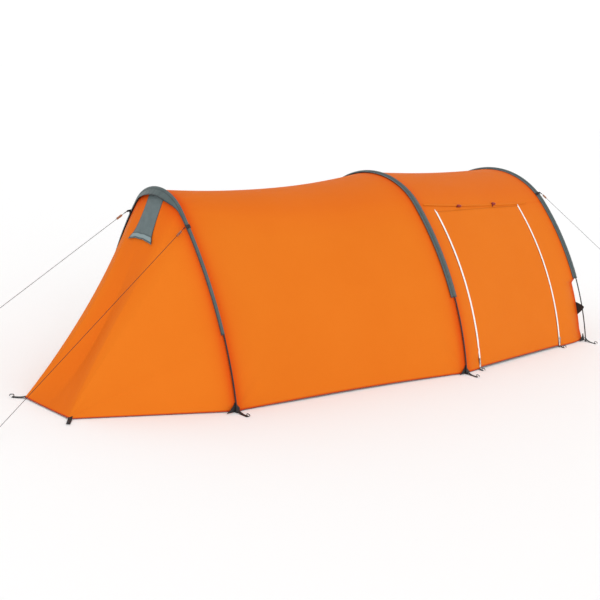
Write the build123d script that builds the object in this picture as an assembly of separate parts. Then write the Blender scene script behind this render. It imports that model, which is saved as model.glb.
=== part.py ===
from build123d import *
from math import asin, atan2, cos, degrees, radians, sin, sqrt
import os

# A three-hoop tunnel tent, in millimetres. x runs from the low tail to the front hoop, y across
# (the side door is on the -y side), z up from the ground. The model is built with x = 0 at the
# tail's ground edge and is moved at the end, so that its box is centred on the origin.

# Hoops: where the feet stand, how wide and high each is, and the angles at which the side arcs
# leave the ground and meet the roof arc.
REAR_X = 752.0
REAR_HALF = 549.0
REAR_TOP = 1048.0
REAR_LEAN = 7.2
REAR_ANGLES = (8.0, 35.0)
MIDDLE_X = 2434.0
MIDDLE_HALF = 851.0
FRONT_X = 3950.0
FRONT_HALF = 900.0
HOOP_TOP = 1100.0
HOOP_ANGLES = (12.9, 43.5)
TAIL_HALF = 173.0

# Poles: hollow glass-fibre rods on a shock cord, joined by steel ferrules.
POLE_R = 3.95
POLE_BORE_R = 1.6
CORD_CORE_R = 1.25
FERRULE_WALL = 0.5
FERRULE_LENGTH = 60.0
FERRULE_CLEAR = 0.05
ROD_LENGTH = 560.0
FOOT_PLUG_R = 5.5
FOOT_PLUG_LENGTH = 14.0
FOOT_PIN_R = 1.4
FOOT_PIN_LENGTH = 30.0

# Pole sleeves: a tube of cloth with a flat skirt that is sewn to the canopy.
SLEEVE_CLEAR = 0.9
SLEEVE_WALL = 0.8
SKIRT_HALF = 27.0
REAR_SKIRT_HALF = 10.0
SKIRT_THICK = 1.2
REAR_SLEEVE_END = 388.0
MIDDLE_SLEEVE_END = 444.0
FRONT_SLEEVE_END = 429.0

# Canopy cloth.
CLOTH = 2.0
HEM = 3.0
SEAM = 0.3
LONG_BAY_SAG = (16.0, 48.0)
SHORT_BAY_SAG = (10.0, 16.0)
SHOULDER_GAP = 0.02  # in degrees of arc, on each side of a shoulder seam
# The tail's sag below straight lines: halfway up its side gores, at their seams and at its middle.
TAIL_SAGS = (45.0, 75.0, 140.0)
# The centre gore is steep, so it is deeper along the hoop's radius than the flatter cloths.
TAIL_DEPTH = 4.5
TAIL_START = 0.015
FRONT_SHEET = 1.6

# Side door, between two curved zips.
SIDE_ZIP_X = (2602.0, 3602.0)
SIDE_DOOR_TOP = 905.0
ZIP_TAPE = 12.0
ZIP_GAP = 2.4
ZIP_THICK = 1.4
DOOR_GAP = 0.6
DOOR_HEM = 14.0
SLIDER = (10.0, 15.0, 5.0)
SLIDER_Z = 62.0
TOGGLE_X = (2870.0, 3290.0)
TOGGLE_RISE = 14.0

# Front door, between two straight zips in the flat front wall.
FRONT_DOOR_HALF = 330.0
FRONT_DOOR_TOP = 820.0
FRONT_DOOR_SILL = 40.0
FRONT_SLIDER_RISE = 46.0
CLIP_Z = 235.0

# Vent at the rear hoop's top.
HOOD_DROP = 0.160
HOOD_HALF = (50.0, 68.0, 100.0)
HOOD_LIFT = (0.8, 9.0, 24.0)
HOOD_THICK = 1.6
VENT_SIZE = (76.0, 100.0)
VENT_SHARE = 0.885
VENT_HEM = 12.0
MESH_THICK = 1.0
STIFFENER_R = 1.5
STIFFENER_CLEAR = 2.7

# Ground straps, rings and pegs.
STRAP_WIDTH = 20.0
STRAP_THICK = 2.0
STRAP_LENGTH = 66.0
DOOR_STRAP_LENGTH = 34.0
STRAP_LIFT = 0.3
PEG_INSET = 9.0
PEG_SLOT = 12.0
RING_R = 8.4
RING_WIRE_R = 1.2
PEG_R = 2.2
PEG_HEIGHT = 17.0
PEG_HOOK = 17.0

# Guy lines with their tabs and runners. Each line ends at its peg, given as a point on the ground.
TAB_LENGTH = 26.0
TAB_WIDTH = 18.0
TAB_WALL = 1.5
REAR_TAB_Z = 890.0
FRONT_TAB_Z = 972.0
GUY_R = 1.25
REAR_NEAR_PEG = (-412.0, -178.0)
REAR_FAR_PEG = (-440.0, 596.0)
FRONT_NEAR_PEG = (5200.0, -1098.0)
GUY_END_Z = 11.0
RUNNER = (34.0, 12.0, 6.0)
RUNNER_CLEAR = 0.08
RUNNER_AT = 30.0

# Inner tent, hung inside the long bay.
INNER_GAP = 62.0
INNER_CLOTH = 1.5
INNER_SPAN = (0.08, 0.965)
FLOOR_THICK = 2.5
INNER_DOOR_HALF = 340.0
INNER_DOOR_TOP = 760.0
INNER_DOOR_SILL = 90.0

SLIDER_ASIDE = SLIDER[0] / 2 + 0.6
SLEEVE_R = POLE_R + SLEEVE_CLEAR + SLEEVE_WALL
SKIRT_INSET = SLEEVE_R - SLEEVE_WALL
SKIN = SKIRT_INSET + SKIRT_THICK + SEAM


class Arch:
    """A hoop line: side arc, roof arc, side arc, tangent to each other, in a plane that may lean."""

    def __init__(self, x, lean, half, top, angles, skin):
        self.x = x
        self.lean = lean
        self.half = half
        self.top = top
        self.angles = angles
        self.skin = skin
        foot, shoulder = (radians(a) for a in angles)
        height = top / cos(radians(lean))
        across = cos(foot) - cos(shoulder)
        up = sin(foot) - sin(shoulder)
        det = cos(shoulder) * up - across * (sin(shoulder) - 1)
        self.roof_r = (half * up + across * height) / det
        self.side_r = -(cos(shoulder) * height + (sin(shoulder) - 1) * half) / det
        self.roof_v = height - self.roof_r
        self.side_u = (self.roof_r - self.side_r) * cos(shoulder)
        self.side_v = self.roof_v + (self.roof_r - self.side_r) * sin(shoulder)

    def place(self, u, v):
        """The point of the leaning plane that is u across and v up."""
        return Vector(self.x - v * sin(radians(self.lean)), u, v * cos(radians(self.lean)))

    def radial(self, angle):
        """The outward direction at an angle; 0 is the far side (+y), 90 the top, 180 the near side."""
        return self.place(cos(radians(angle)), sin(radians(angle))) - self.place(0, 0)

    def tangent(self, angle):
        return self.radial(angle + 90)

    def along(self):
        return Vector(cos(radians(self.lean)), 0, sin(radians(self.lean)))

    def point(self, angle, inset=0.0):
        """The point at an angle, a distance inside the hoop line. At the shoulders, where the arcs
        meet, both give the same point, because their centres and it are in line."""
        mirrored = angle > 90
        a = 180 - angle if mirrored else angle
        on_side = a <= self.angles[1]
        radius = (self.side_r if on_side else self.roof_r) - inset
        u = (self.side_u if on_side else 0) + radius * cos(radians(a))
        v = (self.side_v if on_side else self.roof_v) + radius * sin(radians(a))
        return self.place(-u if mirrored else u, v)

    def angle_at(self, z, inset=0.0):
        """The far side's angle at a height above the ground."""
        v = z / cos(radians(self.lean))
        side = degrees(asin((v - self.side_v) / (self.side_r - inset)))
        if side <= self.angles[1]:
            return side
        return degrees(asin((v - self.roof_v) / (self.roof_r - inset)))

    def toward(self, other, t, sag=(0.0, 0.0)):
        """The canopy's arch a share t of the way to another hoop, pulled in by the cloth's sag."""
        dip = 4 * t * (1 - t)
        mix = lambda a, b: a + (b - a) * t
        half = mix(self.half, other.half) - sag[0] * dip
        top = mix(self.top, other.top) - sag[1] * dip
        angles = tuple(mix(a, b) for a, b in zip(self.angles, other.angles))
        skin = mix(self.skin, other.skin)
        return Arch(mix(self.x, other.x), mix(self.lean, other.lean), half, top, angles, skin)


# The rear skirt spreads over a canopy that widens forward, so its cloth lies that much deeper. The
# cloth's sag takes up half of that rise.
REAR_RISE = REAR_SKIRT_HALF * (MIDDLE_HALF - REAR_HALF) / (MIDDLE_X - REAR_X) / 2
REAR = Arch(REAR_X, REAR_LEAN, REAR_HALF, REAR_TOP, REAR_ANGLES, SKIN + REAR_RISE)
MIDDLE = Arch(MIDDLE_X, 0.0, MIDDLE_HALF, HOOP_TOP, HOOP_ANGLES, SKIN + SEAM)
FRONT = Arch(FRONT_X, 0.0, FRONT_HALF, HOOP_TOP, HOOP_ANGLES, SKIN + SEAM)
HOOPS = (REAR, MIDDLE, FRONT)


def band_face(outer, inner):
    """A flat face between two arcs, each given by three points."""
    edges = [
        ThreePointArc(*outer),
        Line(outer[2], inner[2]),
        ThreePointArc(*reversed(inner)),
        Line(inner[0], outer[0]),
    ]
    return Face(Wire(edges))


def strip(arch, low, high, outer, inner):
    """A strip of an arch's plane between two angles and two insets."""
    steps = (low, (low + high) / 2, high)
    return band_face([arch.point(a, outer) for a in steps], [arch.point(a, inner) for a in steps])


def side_strip(arch, near, bottom, top, outer, inner):
    """A strip of an arch's side between two heights; top None means up to the shoulder seam."""
    rows = []
    for inset in (outer, inner):
        low = arch.angle_at(bottom, inset)
        high = arch.angles[1] - SHOULDER_GAP if top is None else arch.angle_at(top, inset)
        steps = (low, (low + high) / 2, high)
        rows.append([arch.point(180 - a if near else a, inset) for a in steps])
    return band_face(*rows)


def panel(faces):
    """A cloth panel lofted through its cross sections."""
    return loft(faces, ruled=len(faces) == 2)


def side_panel(arches, near, bottom=HEM, top=None, depth=0.0, thick=CLOTH):
    faces = []
    for arch in arches:
        outer = arch.skin + depth
        faces.append(side_strip(arch, near, bottom, top, outer, outer + thick))
    return panel(faces)


def roof_panel(arches, depth=0.0, thick=CLOTH):
    faces = []
    for arch in arches:
        low = arch.angles[1] + SHOULDER_GAP
        outer = arch.skin + depth
        faces.append(strip(arch, low, 180 - low, outer, outer + thick))
    return panel(faces)


def bay(start, end, sag, shares):
    """The canopy's arches at the given shares of a bay."""
    return [start.toward(end, t, sag) for t in shares]


def stretch(arch, begin, end):
    """The part of a hoop line between two lengths measured from its far foot, as one path."""
    foot, shoulder = arch.angles
    start = arch.angle_at(0)
    pieces = [
        (start, shoulder, arch.side_r),
        (shoulder, 180 - shoulder, arch.roof_r),
        (180 - shoulder, 180 - start, arch.side_r),
    ]
    edges = []
    run = 0.0
    for low, high, radius in pieces:
        length = radius * radians(high - low)
        a = max(begin - run, 0.0)
        b = min(end - run, length)
        if b - a > 0.01:
            grade = [low + degrees(s / radius) for s in (a, (a + b) / 2, b)]
            points = [arch.point(g) for g in grade]
            if edges:
                points[0] = edges[-1] @ 1
            edges.append(ThreePointArc(*points))
        run += length
    return Wire(edges)


def hoop_length(arch):
    shoulder = arch.angles[1]
    side = arch.side_r * radians(shoulder - arch.angle_at(0))
    return 2 * side + arch.roof_r * radians(180 - 2 * shoulder)


def length_to(arch, z):
    """The length along a hoop from its foot to a height on the side arc."""
    return arch.side_r * radians(arch.angle_at(z) - arch.angle_at(0))


def start_plane(arch, path):
    """The plane across a path's start, its x along the tent and its y inward."""
    return Plane(origin=path @ 0, x_dir=arch.along(), z_dir=path % 0)


def tube(arch, begin, end, outer_r, inner_r=0.0):
    """A round tube or rod along part of a hoop."""
    path = stretch(arch, begin, end)
    plane = start_plane(arch, path)
    section = Circle(outer_r)
    if inner_r:
        section -= Circle(inner_r)
    return sweep(plane * section, path=path)


def sleeve(arch, end_z, skirt_half):
    """The pole sleeve: a cloth tube on a flat skirt, down to a height on both sides."""
    begin = length_to(arch, end_z)
    path = stretch(arch, begin, hoop_length(arch) - begin)
    plane = start_plane(arch, path)
    inward = 1 if (plane.y_dir.dot(arch.radial(arch.angles[0])) < 0) else -1
    skirt = Pos(0, inward * (SKIRT_INSET + SKIRT_THICK / 2)) * Rectangle(2 * skirt_half, SKIRT_THICK)
    section = Circle(SLEEVE_R) + skirt - Circle(POLE_R + SLEEVE_CLEAR)
    return sweep(plane * section, path=path)


def rod_spans(arch):
    """Where the rods of a hoop begin and end, from plug to plug."""
    first = FOOT_PLUG_LENGTH + PLUG_LIFT
    last = hoop_length(arch) - first
    count = round((last - first) / ROD_LENGTH)
    size = (last - first) / count
    return [(first + i * size, first + (i + 1) * size) for i in range(count)]


PLUG_LIFT = FOOT_PLUG_R * sin(radians(max(HOOP_ANGLES[0], REAR_ANGLES[0]))) + 0.2
GAP = 0.1


def rods(arch):
    return [tube(arch, a + GAP, b - GAP, POLE_R, POLE_BORE_R) for a, b in rod_spans(arch)]


def ferrules(arch):
    """Steel tubes over the joints between rods."""
    joints = [b for a, b in rod_spans(arch)][:-1]
    inner = POLE_R + FERRULE_CLEAR
    half = FERRULE_LENGTH / 2
    return [tube(arch, s - half, s + half, inner + FERRULE_WALL, inner) for s in joints]


def foot_plugs(arch):
    """A plug with a pin that stands in the pole's end, on both feet."""
    total = hoop_length(arch)
    solids = []
    for begin, end, tip in (
        (PLUG_LIFT, PLUG_LIFT + FOOT_PLUG_LENGTH, 1),
        (total - PLUG_LIFT - FOOT_PLUG_LENGTH, total - PLUG_LIFT, -1),
    ):
        pin = (begin, end + FOOT_PIN_LENGTH) if tip > 0 else (begin - FOOT_PIN_LENGTH, end)
        solids.append(tube(arch, begin, end, FOOT_PLUG_R) + tube(arch, *pin, FOOT_PIN_R))
    return solids


def shock_cord(arch):
    inset = PLUG_LIFT + FOOT_PLUG_LENGTH + FOOT_PIN_LENGTH + 1
    return tube(arch, inset, hoop_length(arch) - inset, CORD_CORE_R)


def tail_point(angle, share, depth=0.0, sag=0.0):
    """A point of the tail: share 0 lies on the ground edge and 1 at the rear hoop. It is drawn in
    toward the tail by depth and by a sag that is greatest halfway."""
    shoulder = REAR.angles[1]
    a = 180 - angle if angle > 90 else angle
    reach = 1.0 if a <= shoulder else (90 - a) / (90 - shoulder)
    base = Vector(0, TAIL_HALF * reach * (-1 if angle > 90 else 1), HEM)
    p = base + (REAR.point(angle, REAR.skin) - base) * share
    return p - REAR.radial(angle) * (depth + sag * 4 * share * (1 - share))


def tail_strip(low, high, share, depth, thick, dips):
    """A cross section of the tail, in a plane parallel to the rear hoop."""
    steps = (low, (low + high) / 2, high)
    outer = [tail_point(a, share, depth, d) for a, d in zip(steps, dips)]
    inner = [tail_point(a, share, depth + thick, d) for a, d in zip(steps, dips)]
    return band_face(outer, inner)


def tail_gore(low, high, dips, depth=0.0, thick=CLOTH, shares=(TAIL_START, 0.35, 0.7, 1.0)):
    return panel([tail_strip(low, high, s, depth, thick, dips) for s in shares])


def middle_sag(angle):
    """The sag of the tail's centre gore at an angle: from its seams' to its middle's, round an arc."""
    bow = (1 - sin(radians(angle))) / (1 - sin(radians(REAR.angles[1])))
    return TAIL_SAGS[2] + (TAIL_SAGS[1] - TAIL_SAGS[2]) * bow


def slope_plane(share):
    """A plane on the tail's middle line, its x across and its z outward."""
    step = 0.01
    origin = tail_point(90, share, sag=TAIL_SAGS[2])
    down = (tail_point(90, share - step, sag=TAIL_SAGS[2]) - origin).normalized()
    return Plane(origin=origin, x_dir=(0, 1, 0), z_dir=Vector(0, 1, 0).cross(down) * -1)


def flat_arch(arch, inset, x, thick, bottom=HEM):
    """A flat wall in an upright arch's outline."""
    low = arch.angle_at(bottom, inset)
    shoulder = arch.angles[1]
    marks = [low, (low + shoulder) / 2, shoulder, 90, 180 - shoulder, 180 - (low + shoulder) / 2, 180 - low]
    shift = Vector(x - arch.x, 0, 0)
    p = [arch.point(m, inset) + shift for m in marks]
    p[2] = arch.point(shoulder - 1e-9, inset) + shift
    p[4] = arch.point(180 - shoulder + 1e-9, inset) + shift
    outline = [ThreePointArc(*p[0:3]), ThreePointArc(*p[2:5]), ThreePointArc(*p[4:7]), Line(p[6], p[0])]
    return extrude(Face(Wire(outline)), amount=thick, dir=(1, 0, 0))


def block(low, high):
    """A box between two corners."""
    size = [b - a for a, b in zip(low, high)]
    centre = [(a + b) / 2 for a, b in zip(low, high)]
    return Pos(*centre) * Box(*size)


def walls_around(wall, half, sill, top, x):
    """A flat wall cut into near, far, head and sill pieces round a door opening."""
    big = 3000
    near = wall & block((x - 50, -big, -big), (x + 50, -half, big))
    far = wall & block((x - 50, half, -big), (x + 50, big, big))
    head = wall & block((x - 50, -half, top), (x + 50, half, big))
    foot = wall & block((x - 50, -half, -big), (x + 50, half, sill))
    return near, far, head, foot


def ground_strap(x, y, turn, length):
    """A webbing strap flat on the ground with a slot for its peg, pointing at an angle from +x."""
    strap = block((0, -STRAP_WIDTH / 2, STRAP_LIFT), (length, STRAP_WIDTH / 2, STRAP_LIFT + STRAP_THICK))
    slot = Pos(length - PEG_INSET, 0, 0) * Box(2 * PEG_R + 1.2, PEG_SLOT, 20)
    return Pos(x, y, 0) * Rot(0, 0, turn) * (strap - slot)


def peg(x, y, turn):
    """A wire peg's head: the shank up from the ground, bent over into a hook away from the tent."""
    path = FilletPolyline(
        (0, 0, 0),
        (0, 0, PEG_HEIGHT),
        (PEG_HOOK, 0, PEG_HEIGHT - 1),
        (PEG_HOOK + 4, 0, PEG_HEIGHT - 9),
        radius=4,
    )
    wire = sweep(Plane(origin=(0, 0, 0), z_dir=(0, 0, 1)) * Circle(PEG_R), path=path)
    return Pos(x, y, 0) * Rot(0, 0, turn) * wire


def pegged(x, y, turn, length):
    """A ground strap and the peg in its slot."""
    reach = length - PEG_INSET
    px = x + reach * cos(radians(turn))
    py = y + reach * sin(radians(turn))
    return ground_strap(x, y, turn, length), peg(px, py, turn)


def guy_tab(arch, angle, ahead):
    """A webbing saddle over a sleeve with a tongue that the guy line is tied to."""
    z_dir = arch.tangent(angle)
    plane = Plane(origin=arch.point(angle), x_dir=arch.along(), z_dir=z_dir)
    out = 1 if plane.y_dir.dot(arch.radial(angle)) > 0 else -1
    inner = SLEEVE_R + 2 * SEAM
    outer = inner + TAB_WALL
    half_ring = (Circle(outer) - Circle(inner)) & (Pos(0, out * outer / 2) * Rectangle(3 * outer, outer))
    tongue = Pos(ahead * TAB_LENGTH / 2, out * (inner + TAB_WALL / 2)) * Rectangle(TAB_LENGTH, TAB_WALL)
    tab = extrude(plane * (half_ring + tongue), amount=TAB_WIDTH / 2, both=True)
    root = arch.point(angle) + arch.radial(angle) * (inner + TAB_WALL / 2)
    hole = Plane(
        origin=root + arch.along() * (ahead * (TAB_LENGTH - 6)), x_dir=arch.along(), z_dir=arch.radial(angle)
    )
    tab -= hole * Cylinder(3, 10)
    return tab, root + arch.along() * (ahead * (TAB_LENGTH + GUY_R + 0.4))


def guy_line(start, stake):
    """A taut line from a tab to its peg; returns the line, its direction and its length."""
    end = Vector(stake[0], stake[1], GUY_END_Z)
    direction = (end - start).normalized()
    end = end - direction * (PEG_R + GUY_R + 0.4)
    line = Plane(origin=start, z_dir=direction) * Circle(GUY_R)
    return extrude(line, amount=(end - start).length, dir=direction), direction, (end - start).length


def runner(start, direction):
    """A flat plastic line runner that slides on a guy line."""
    plane = Plane(origin=start + direction * RUNNER_AT, z_dir=direction)
    body = RectangleRounded(RUNNER[1], RUNNER[2], 2) - Circle(GUY_R + RUNNER_CLEAR)
    return extrude(plane * body, amount=RUNNER[0])


def zip_arch(share):
    return MIDDLE.toward(FRONT, share, SHORT_BAY_SAG)


def zip_share(x):
    return (x - MIDDLE_X) / (FRONT_X - MIDDLE_X)


def zip_tape(x, inner_x, outer_x):
    """A zip tape along a side door's edge, from the hem to the door's top, between two x values."""
    arch = zip_arch(zip_share(x))
    face = side_strip(arch, True, DOOR_HEM, SIDE_DOOR_TOP - 6, arch.skin, arch.skin + ZIP_THICK)
    return extrude(Pos(inner_x - arch.x, 0, 0) * face, amount=outer_x - inner_x, dir=(1, 0, 0))


def slider_block(plane):
    """A zip slider with its puller below it; the plane's z points outward and its y up the zip."""
    width, length, thick = SLIDER
    body = Pos(0, 0, thick / 2) * Box(width, length, thick)
    body = fillet(body.edges().filter_by(Axis.Z), 2)
    pull = Pos(0, -length / 2 - 12.2, thick / 2) * Box(7, 24, 1.6)
    pull -= Pos(0, -length / 2 - 21, thick / 2) * Cylinder(1.6, 5)
    return [plane * body, plane * pull]


def side_slider(x, away):
    """A slider on a side zip, beside the door's edge; away is the side that the fixed tape is on.
    Returns its solids, the arc centre that it travels about and the travel in degrees."""
    arch = zip_arch(zip_share(x))
    angle = arch.angle_at(SLIDER_Z, arch.skin)
    outward = arch.radial(180 - angle)
    origin = arch.point(180 - angle, arch.skin) + outward * SEAM + Vector(away * SLIDER_ASIDE, 0, 0)
    plane = Plane(origin=origin, x_dir=(1, 0, 0), z_dir=outward)
    if plane.y_dir.Z < 0:
        plane = Plane(origin=origin, x_dir=(-1, 0, 0), z_dir=outward)
    travel = arch.angle_at(SIDE_DOOR_TOP - 30, arch.skin) - angle
    return slider_block(plane), (arch.x, -arch.side_u, arch.side_v), travel


def hood_strip(share, half, lift):
    """A cross section of the vent hood, crowned over the tail's middle line."""
    spread = degrees(asin(min(half / (REAR.roof_r * share + TAIL_HALF * (1 - share)), 0.95)))
    steps = (90 - spread, 90, 90 + spread)
    sags = [middle_sag(a) for a in steps]
    outer = [tail_point(a, share, -lift - HOOD_THICK, g) for a, g in zip(steps, sags)]
    inner = [tail_point(a, share, -lift, g) for a, g in zip(steps, sags)]
    return band_face(outer, inner)


parts = {}

# Poles, ferrules, plugs, shock cords and sleeves.
for name, arch in zip(("rear", "middle", "front"), HOOPS):
    parts[name + "_pole_rods"] = rods(arch)
parts["pole_ferrules"] = [f for arch in HOOPS for f in ferrules(arch)]
parts["pole_foot_plugs"] = [p for arch in HOOPS for p in foot_plugs(arch)]
parts["pole_shock_cords"] = [shock_cord(arch) for arch in HOOPS]
parts["rear_sleeve"] = sleeve(REAR, REAR_SLEEVE_END, REAR_SKIRT_HALF)
parts["middle_sleeve"] = sleeve(MIDDLE, MIDDLE_SLEEVE_END, SKIRT_HALF)
parts["front_sleeve"] = sleeve(FRONT, FRONT_SLEEVE_END, SKIRT_HALF)

# Canopy: the long bay over the inner tent, the short bay over the porch, and the tail.
long_bay = bay(REAR, MIDDLE, LONG_BAY_SAG, (0, 0.5, 1))
parts["long_bay_near_side"] = side_panel(long_bay, True)
parts["long_bay_roof"] = roof_panel(long_bay)
parts["long_bay_far_side"] = side_panel(long_bay, False)

short_bay = bay(MIDDLE, FRONT, SHORT_BAY_SAG, (0, 0.5, 1))
parts["short_bay_roof"] = roof_panel(short_bay)
parts["short_bay_far_side"] = side_panel(short_bay, False)

tape_edges = [(x - ZIP_TAPE, x + ZIP_TAPE) for x in SIDE_ZIP_X]
before_door = zip_share(tape_edges[0][0])
door_shares = (zip_share(tape_edges[0][1]), zip_share(sum(SIDE_ZIP_X) / 2), zip_share(tape_edges[1][0]))
after_door = zip_share(tape_edges[1][1])
parts["side_wall_rear_strip"] = side_panel(bay(MIDDLE, FRONT, SHORT_BAY_SAG, (0, before_door)), True)
parts["side_wall_front_strip"] = side_panel(bay(MIDDLE, FRONT, SHORT_BAY_SAG, (after_door, 1)), True)
header_shares = (before_door, door_shares[1], after_door)
header = side_panel(
    bay(MIDDLE, FRONT, SHORT_BAY_SAG, header_shares), True, bottom=SIDE_DOOR_TOP + DOOR_GAP
)
parts["side_door_header"] = header

shoulder = REAR.angles[1]
rear_foot = REAR.angle_at(HEM, REAR.skin)
side_dips = (0.0, TAIL_SAGS[0], TAIL_SAGS[1])
middle_dips = (TAIL_SAGS[1], TAIL_SAGS[2], TAIL_SAGS[1])
parts["tail_near_gore"] = tail_gore(180 - rear_foot, 180 - shoulder + SHOULDER_GAP, side_dips)
parts["tail_far_gore"] = tail_gore(rear_foot, shoulder - SHOULDER_GAP, side_dips)
vent_plane = slope_plane(VENT_SHARE)
vent_hole = vent_plane * Box(VENT_SIZE[0], VENT_SIZE[1], 60)
centre_span = (shoulder + SHOULDER_GAP, 180 - shoulder - SHOULDER_GAP)
centre_gore = tail_gore(*centre_span, middle_dips, thick=TAIL_DEPTH)
parts["tail_centre_gore"] = centre_gore - vent_hole
mesh_gore = tail_gore(*centre_span, middle_dips, depth=TAIL_DEPTH + 2 * SEAM, thick=MESH_THICK)
mesh_zone = vent_plane * Box(VENT_SIZE[0] + 2 * VENT_HEM, VENT_SIZE[1] + 2 * VENT_HEM, 60)
parts["vent_mesh"] = mesh_gore & mesh_zone

# Vent hood: a stiffened flap that hangs from the rear hoop over the vent.
hood_top = 1 - (REAR_SKIRT_HALF + 2) / (REAR_X * cos(radians(REAR_LEAN)))
hood_shares = (hood_top, hood_top - HOOD_DROP / 2, hood_top - HOOD_DROP)
hood_faces = [hood_strip(s, h, k) for s, h, k in zip(hood_shares, HOOD_HALF, HOOD_LIFT)]
parts["vent_hood"] = panel(hood_faces)
lip = hood_strip(hood_shares[2], HOOD_HALF[2] - 4, HOOD_LIFT[2] - STIFFENER_R - STIFFENER_CLEAR)
lip_edge = lip.edges().filter_by(GeomType.CIRCLE).sort_by(SortBy.LENGTH)[-1]
lip_path = Wire([lip_edge])
lip_plane = Plane(origin=lip_path @ 0, z_dir=lip_path % 0)
parts["vent_hood_stiffener"] = sweep(lip_plane * Circle(STIFFENER_R), path=lip_path)
hood_hinge = tail_point(90, hood_top, -HOOD_LIFT[0] - HOOD_THICK, TAIL_SAGS[2])

# Side door, its zips and sliders.
door_arches = [zip_arch(s) for s in door_shares]
parts["side_door"] = side_panel(door_arches, True, bottom=DOOR_HEM, top=SIDE_DOOR_TOP)
rear_zip, front_zip = SIDE_ZIP_X
half_gap = ZIP_GAP / 2
parts["side_zip_fixed_tapes"] = [
    zip_tape(rear_zip, rear_zip - ZIP_TAPE, rear_zip - half_gap),
    zip_tape(front_zip, front_zip + half_gap, front_zip + ZIP_TAPE),
]
parts["side_zip_door_tapes"] = [
    zip_tape(rear_zip, rear_zip + half_gap, rear_zip + ZIP_TAPE),
    zip_tape(front_zip, front_zip - ZIP_TAPE, front_zip - half_gap),
]
rear_slider, rear_axis, rear_travel = side_slider(rear_zip, -1)
front_slider, front_axis, front_travel = side_slider(front_zip, 1)
parts["side_zip_slider_rear"] = rear_slider
parts["side_zip_slider_front"] = front_slider
door_y = min(a.point(180 - a.angle_at(SIDE_DOOR_TOP, a.skin), a.skin).Y for a in door_arches)
side_hinge = Vector(sum(SIDE_ZIP_X) / 2, door_y - SEAM, SIDE_DOOR_TOP + DOOR_GAP / 2)

# Toggles that tie the rolled-up side door, on loops sewn above its top seam.
toggles = []
for x in TOGGLE_X:
    arch = zip_arch(zip_share(x))
    angle = 180 - arch.angle_at(SIDE_DOOR_TOP + TOGGLE_RISE, arch.skin)
    outward = arch.radial(angle)
    seat = arch.point(angle, arch.skin)
    plane = Plane(origin=seat + outward * SEAM, x_dir=(1, 0, 0), z_dir=outward)
    toggles.append(plane * (Pos(0, 0, 0.75) * Box(10, 22, 1.5)))
    toggles.append(plane * (Pos(0, 0, 1.5 + SEAM + 3) * Rot(0, 90, 0) * Cylinder(3, 26)))
parts["door_toggles"] = toggles

# Front wall with its door, zips and sliders.
front_wall = flat_arch(FRONT, FRONT.skin, FRONT_X, FRONT_SHEET)
near_wall, far_wall, head_wall, sill_wall = walls_around(
    front_wall, FRONT_DOOR_HALF + ZIP_TAPE, FRONT_DOOR_SILL, FRONT_DOOR_TOP, FRONT_X
)
parts["front_wall_near"] = near_wall
parts["front_wall_far"] = far_wall
parts["front_wall_head"] = head_wall
parts["front_wall_sill"] = sill_wall
face_x = FRONT_X + FRONT_SHEET
door_z = (FRONT_DOOR_SILL + DOOR_GAP, FRONT_DOOR_TOP - DOOR_GAP)
panel_half = FRONT_DOOR_HALF - ZIP_TAPE
parts["front_door"] = block((FRONT_X, -panel_half, door_z[0]), (face_x, panel_half, door_z[1]))
fixed_tapes = []
door_tapes = []
for side in (-1, 1):
    y = side * FRONT_DOOR_HALF
    inner = sorted((y - side * half_gap, y - side * ZIP_TAPE))
    outer = sorted((y + side * half_gap, y + side * ZIP_TAPE))
    tape_x = (FRONT_X + 0.1, FRONT_X + 0.1 + ZIP_THICK)
    door_tapes.append(block((tape_x[0], inner[0], door_z[0]), (tape_x[1], inner[1], door_z[1])))
    fixed_tapes.append(block((tape_x[0], outer[0], door_z[0]), (tape_x[1], outer[1], door_z[1])))
parts["front_zip_fixed_tapes"] = fixed_tapes
parts["front_zip_door_tapes"] = door_tapes
for name, side in (("near", -1), ("far", 1)):
    origin = (face_x + SEAM, side * (FRONT_DOOR_HALF + SLIDER_ASIDE), FRONT_DOOR_SILL + FRONT_SLIDER_RISE)
    plane = Plane(origin=origin, x_dir=(0, 1, 0), z_dir=(1, 0, 0))
    parts["front_zip_slider_" + name] = slider_block(plane)
front_hinge = Vector(face_x + SEAM, 0, FRONT_DOOR_TOP - DOOR_GAP / 2)

# Clips that hold the canopy's front edge to the front pole, below the sleeve.
clips = []
clip_angle = FRONT.angle_at(CLIP_Z)
for angle in (clip_angle, 180 - clip_angle):
    plane = Plane(origin=FRONT.point(angle), x_dir=FRONT.along(), z_dir=FRONT.tangent(angle))
    ring = Circle(POLE_R + 0.4 + 1.6) - Circle(POLE_R + 0.4)
    clips.append(extrude(plane * ring, amount=9, both=True))
parts["pole_clips"] = clips

# Foot rings, ground straps and pegs.
rings = []
straps = []
pegs = []
for arch in HOOPS:
    for side in (-1, 1):
        foot = arch.point(arch.angle_at(2) if side > 0 else 180 - arch.angle_at(2))
        rings.append(Pos(foot.X, foot.Y, STRAP_LIFT + RING_WIRE_R) * Torus(RING_R, RING_WIRE_R))
        edge = side * (abs(foot.Y) + RING_R + RING_WIRE_R + SEAM)
        strap, stake = pegged(foot.X, edge, side * 90, STRAP_LENGTH)
        straps.append(strap)
        pegs.append(stake)
parts["foot_rings"] = rings
parts["foot_straps"] = straps
hem_straps = []
for side in (-1, 1):
    strap, stake = pegged(REAR_X * TAIL_START, side * (TAIL_HALF + 4), side * 135, STRAP_LENGTH)
    hem_straps.append(strap)
    pegs.append(stake)
for x, side in ((rear_zip - 14, -1), (front_zip + 14, -1)):
    arch = zip_arch(zip_share(x))
    y = arch.point(180 - arch.angle_at(HEM, arch.skin), arch.skin).Y
    strap, stake = pegged(x, y + 6, side * 90, DOOR_STRAP_LENGTH)
    hem_straps.append(strap)
    pegs.append(stake)
parts["hem_straps"] = hem_straps
parts["ground_pegs"] = pegs

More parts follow.
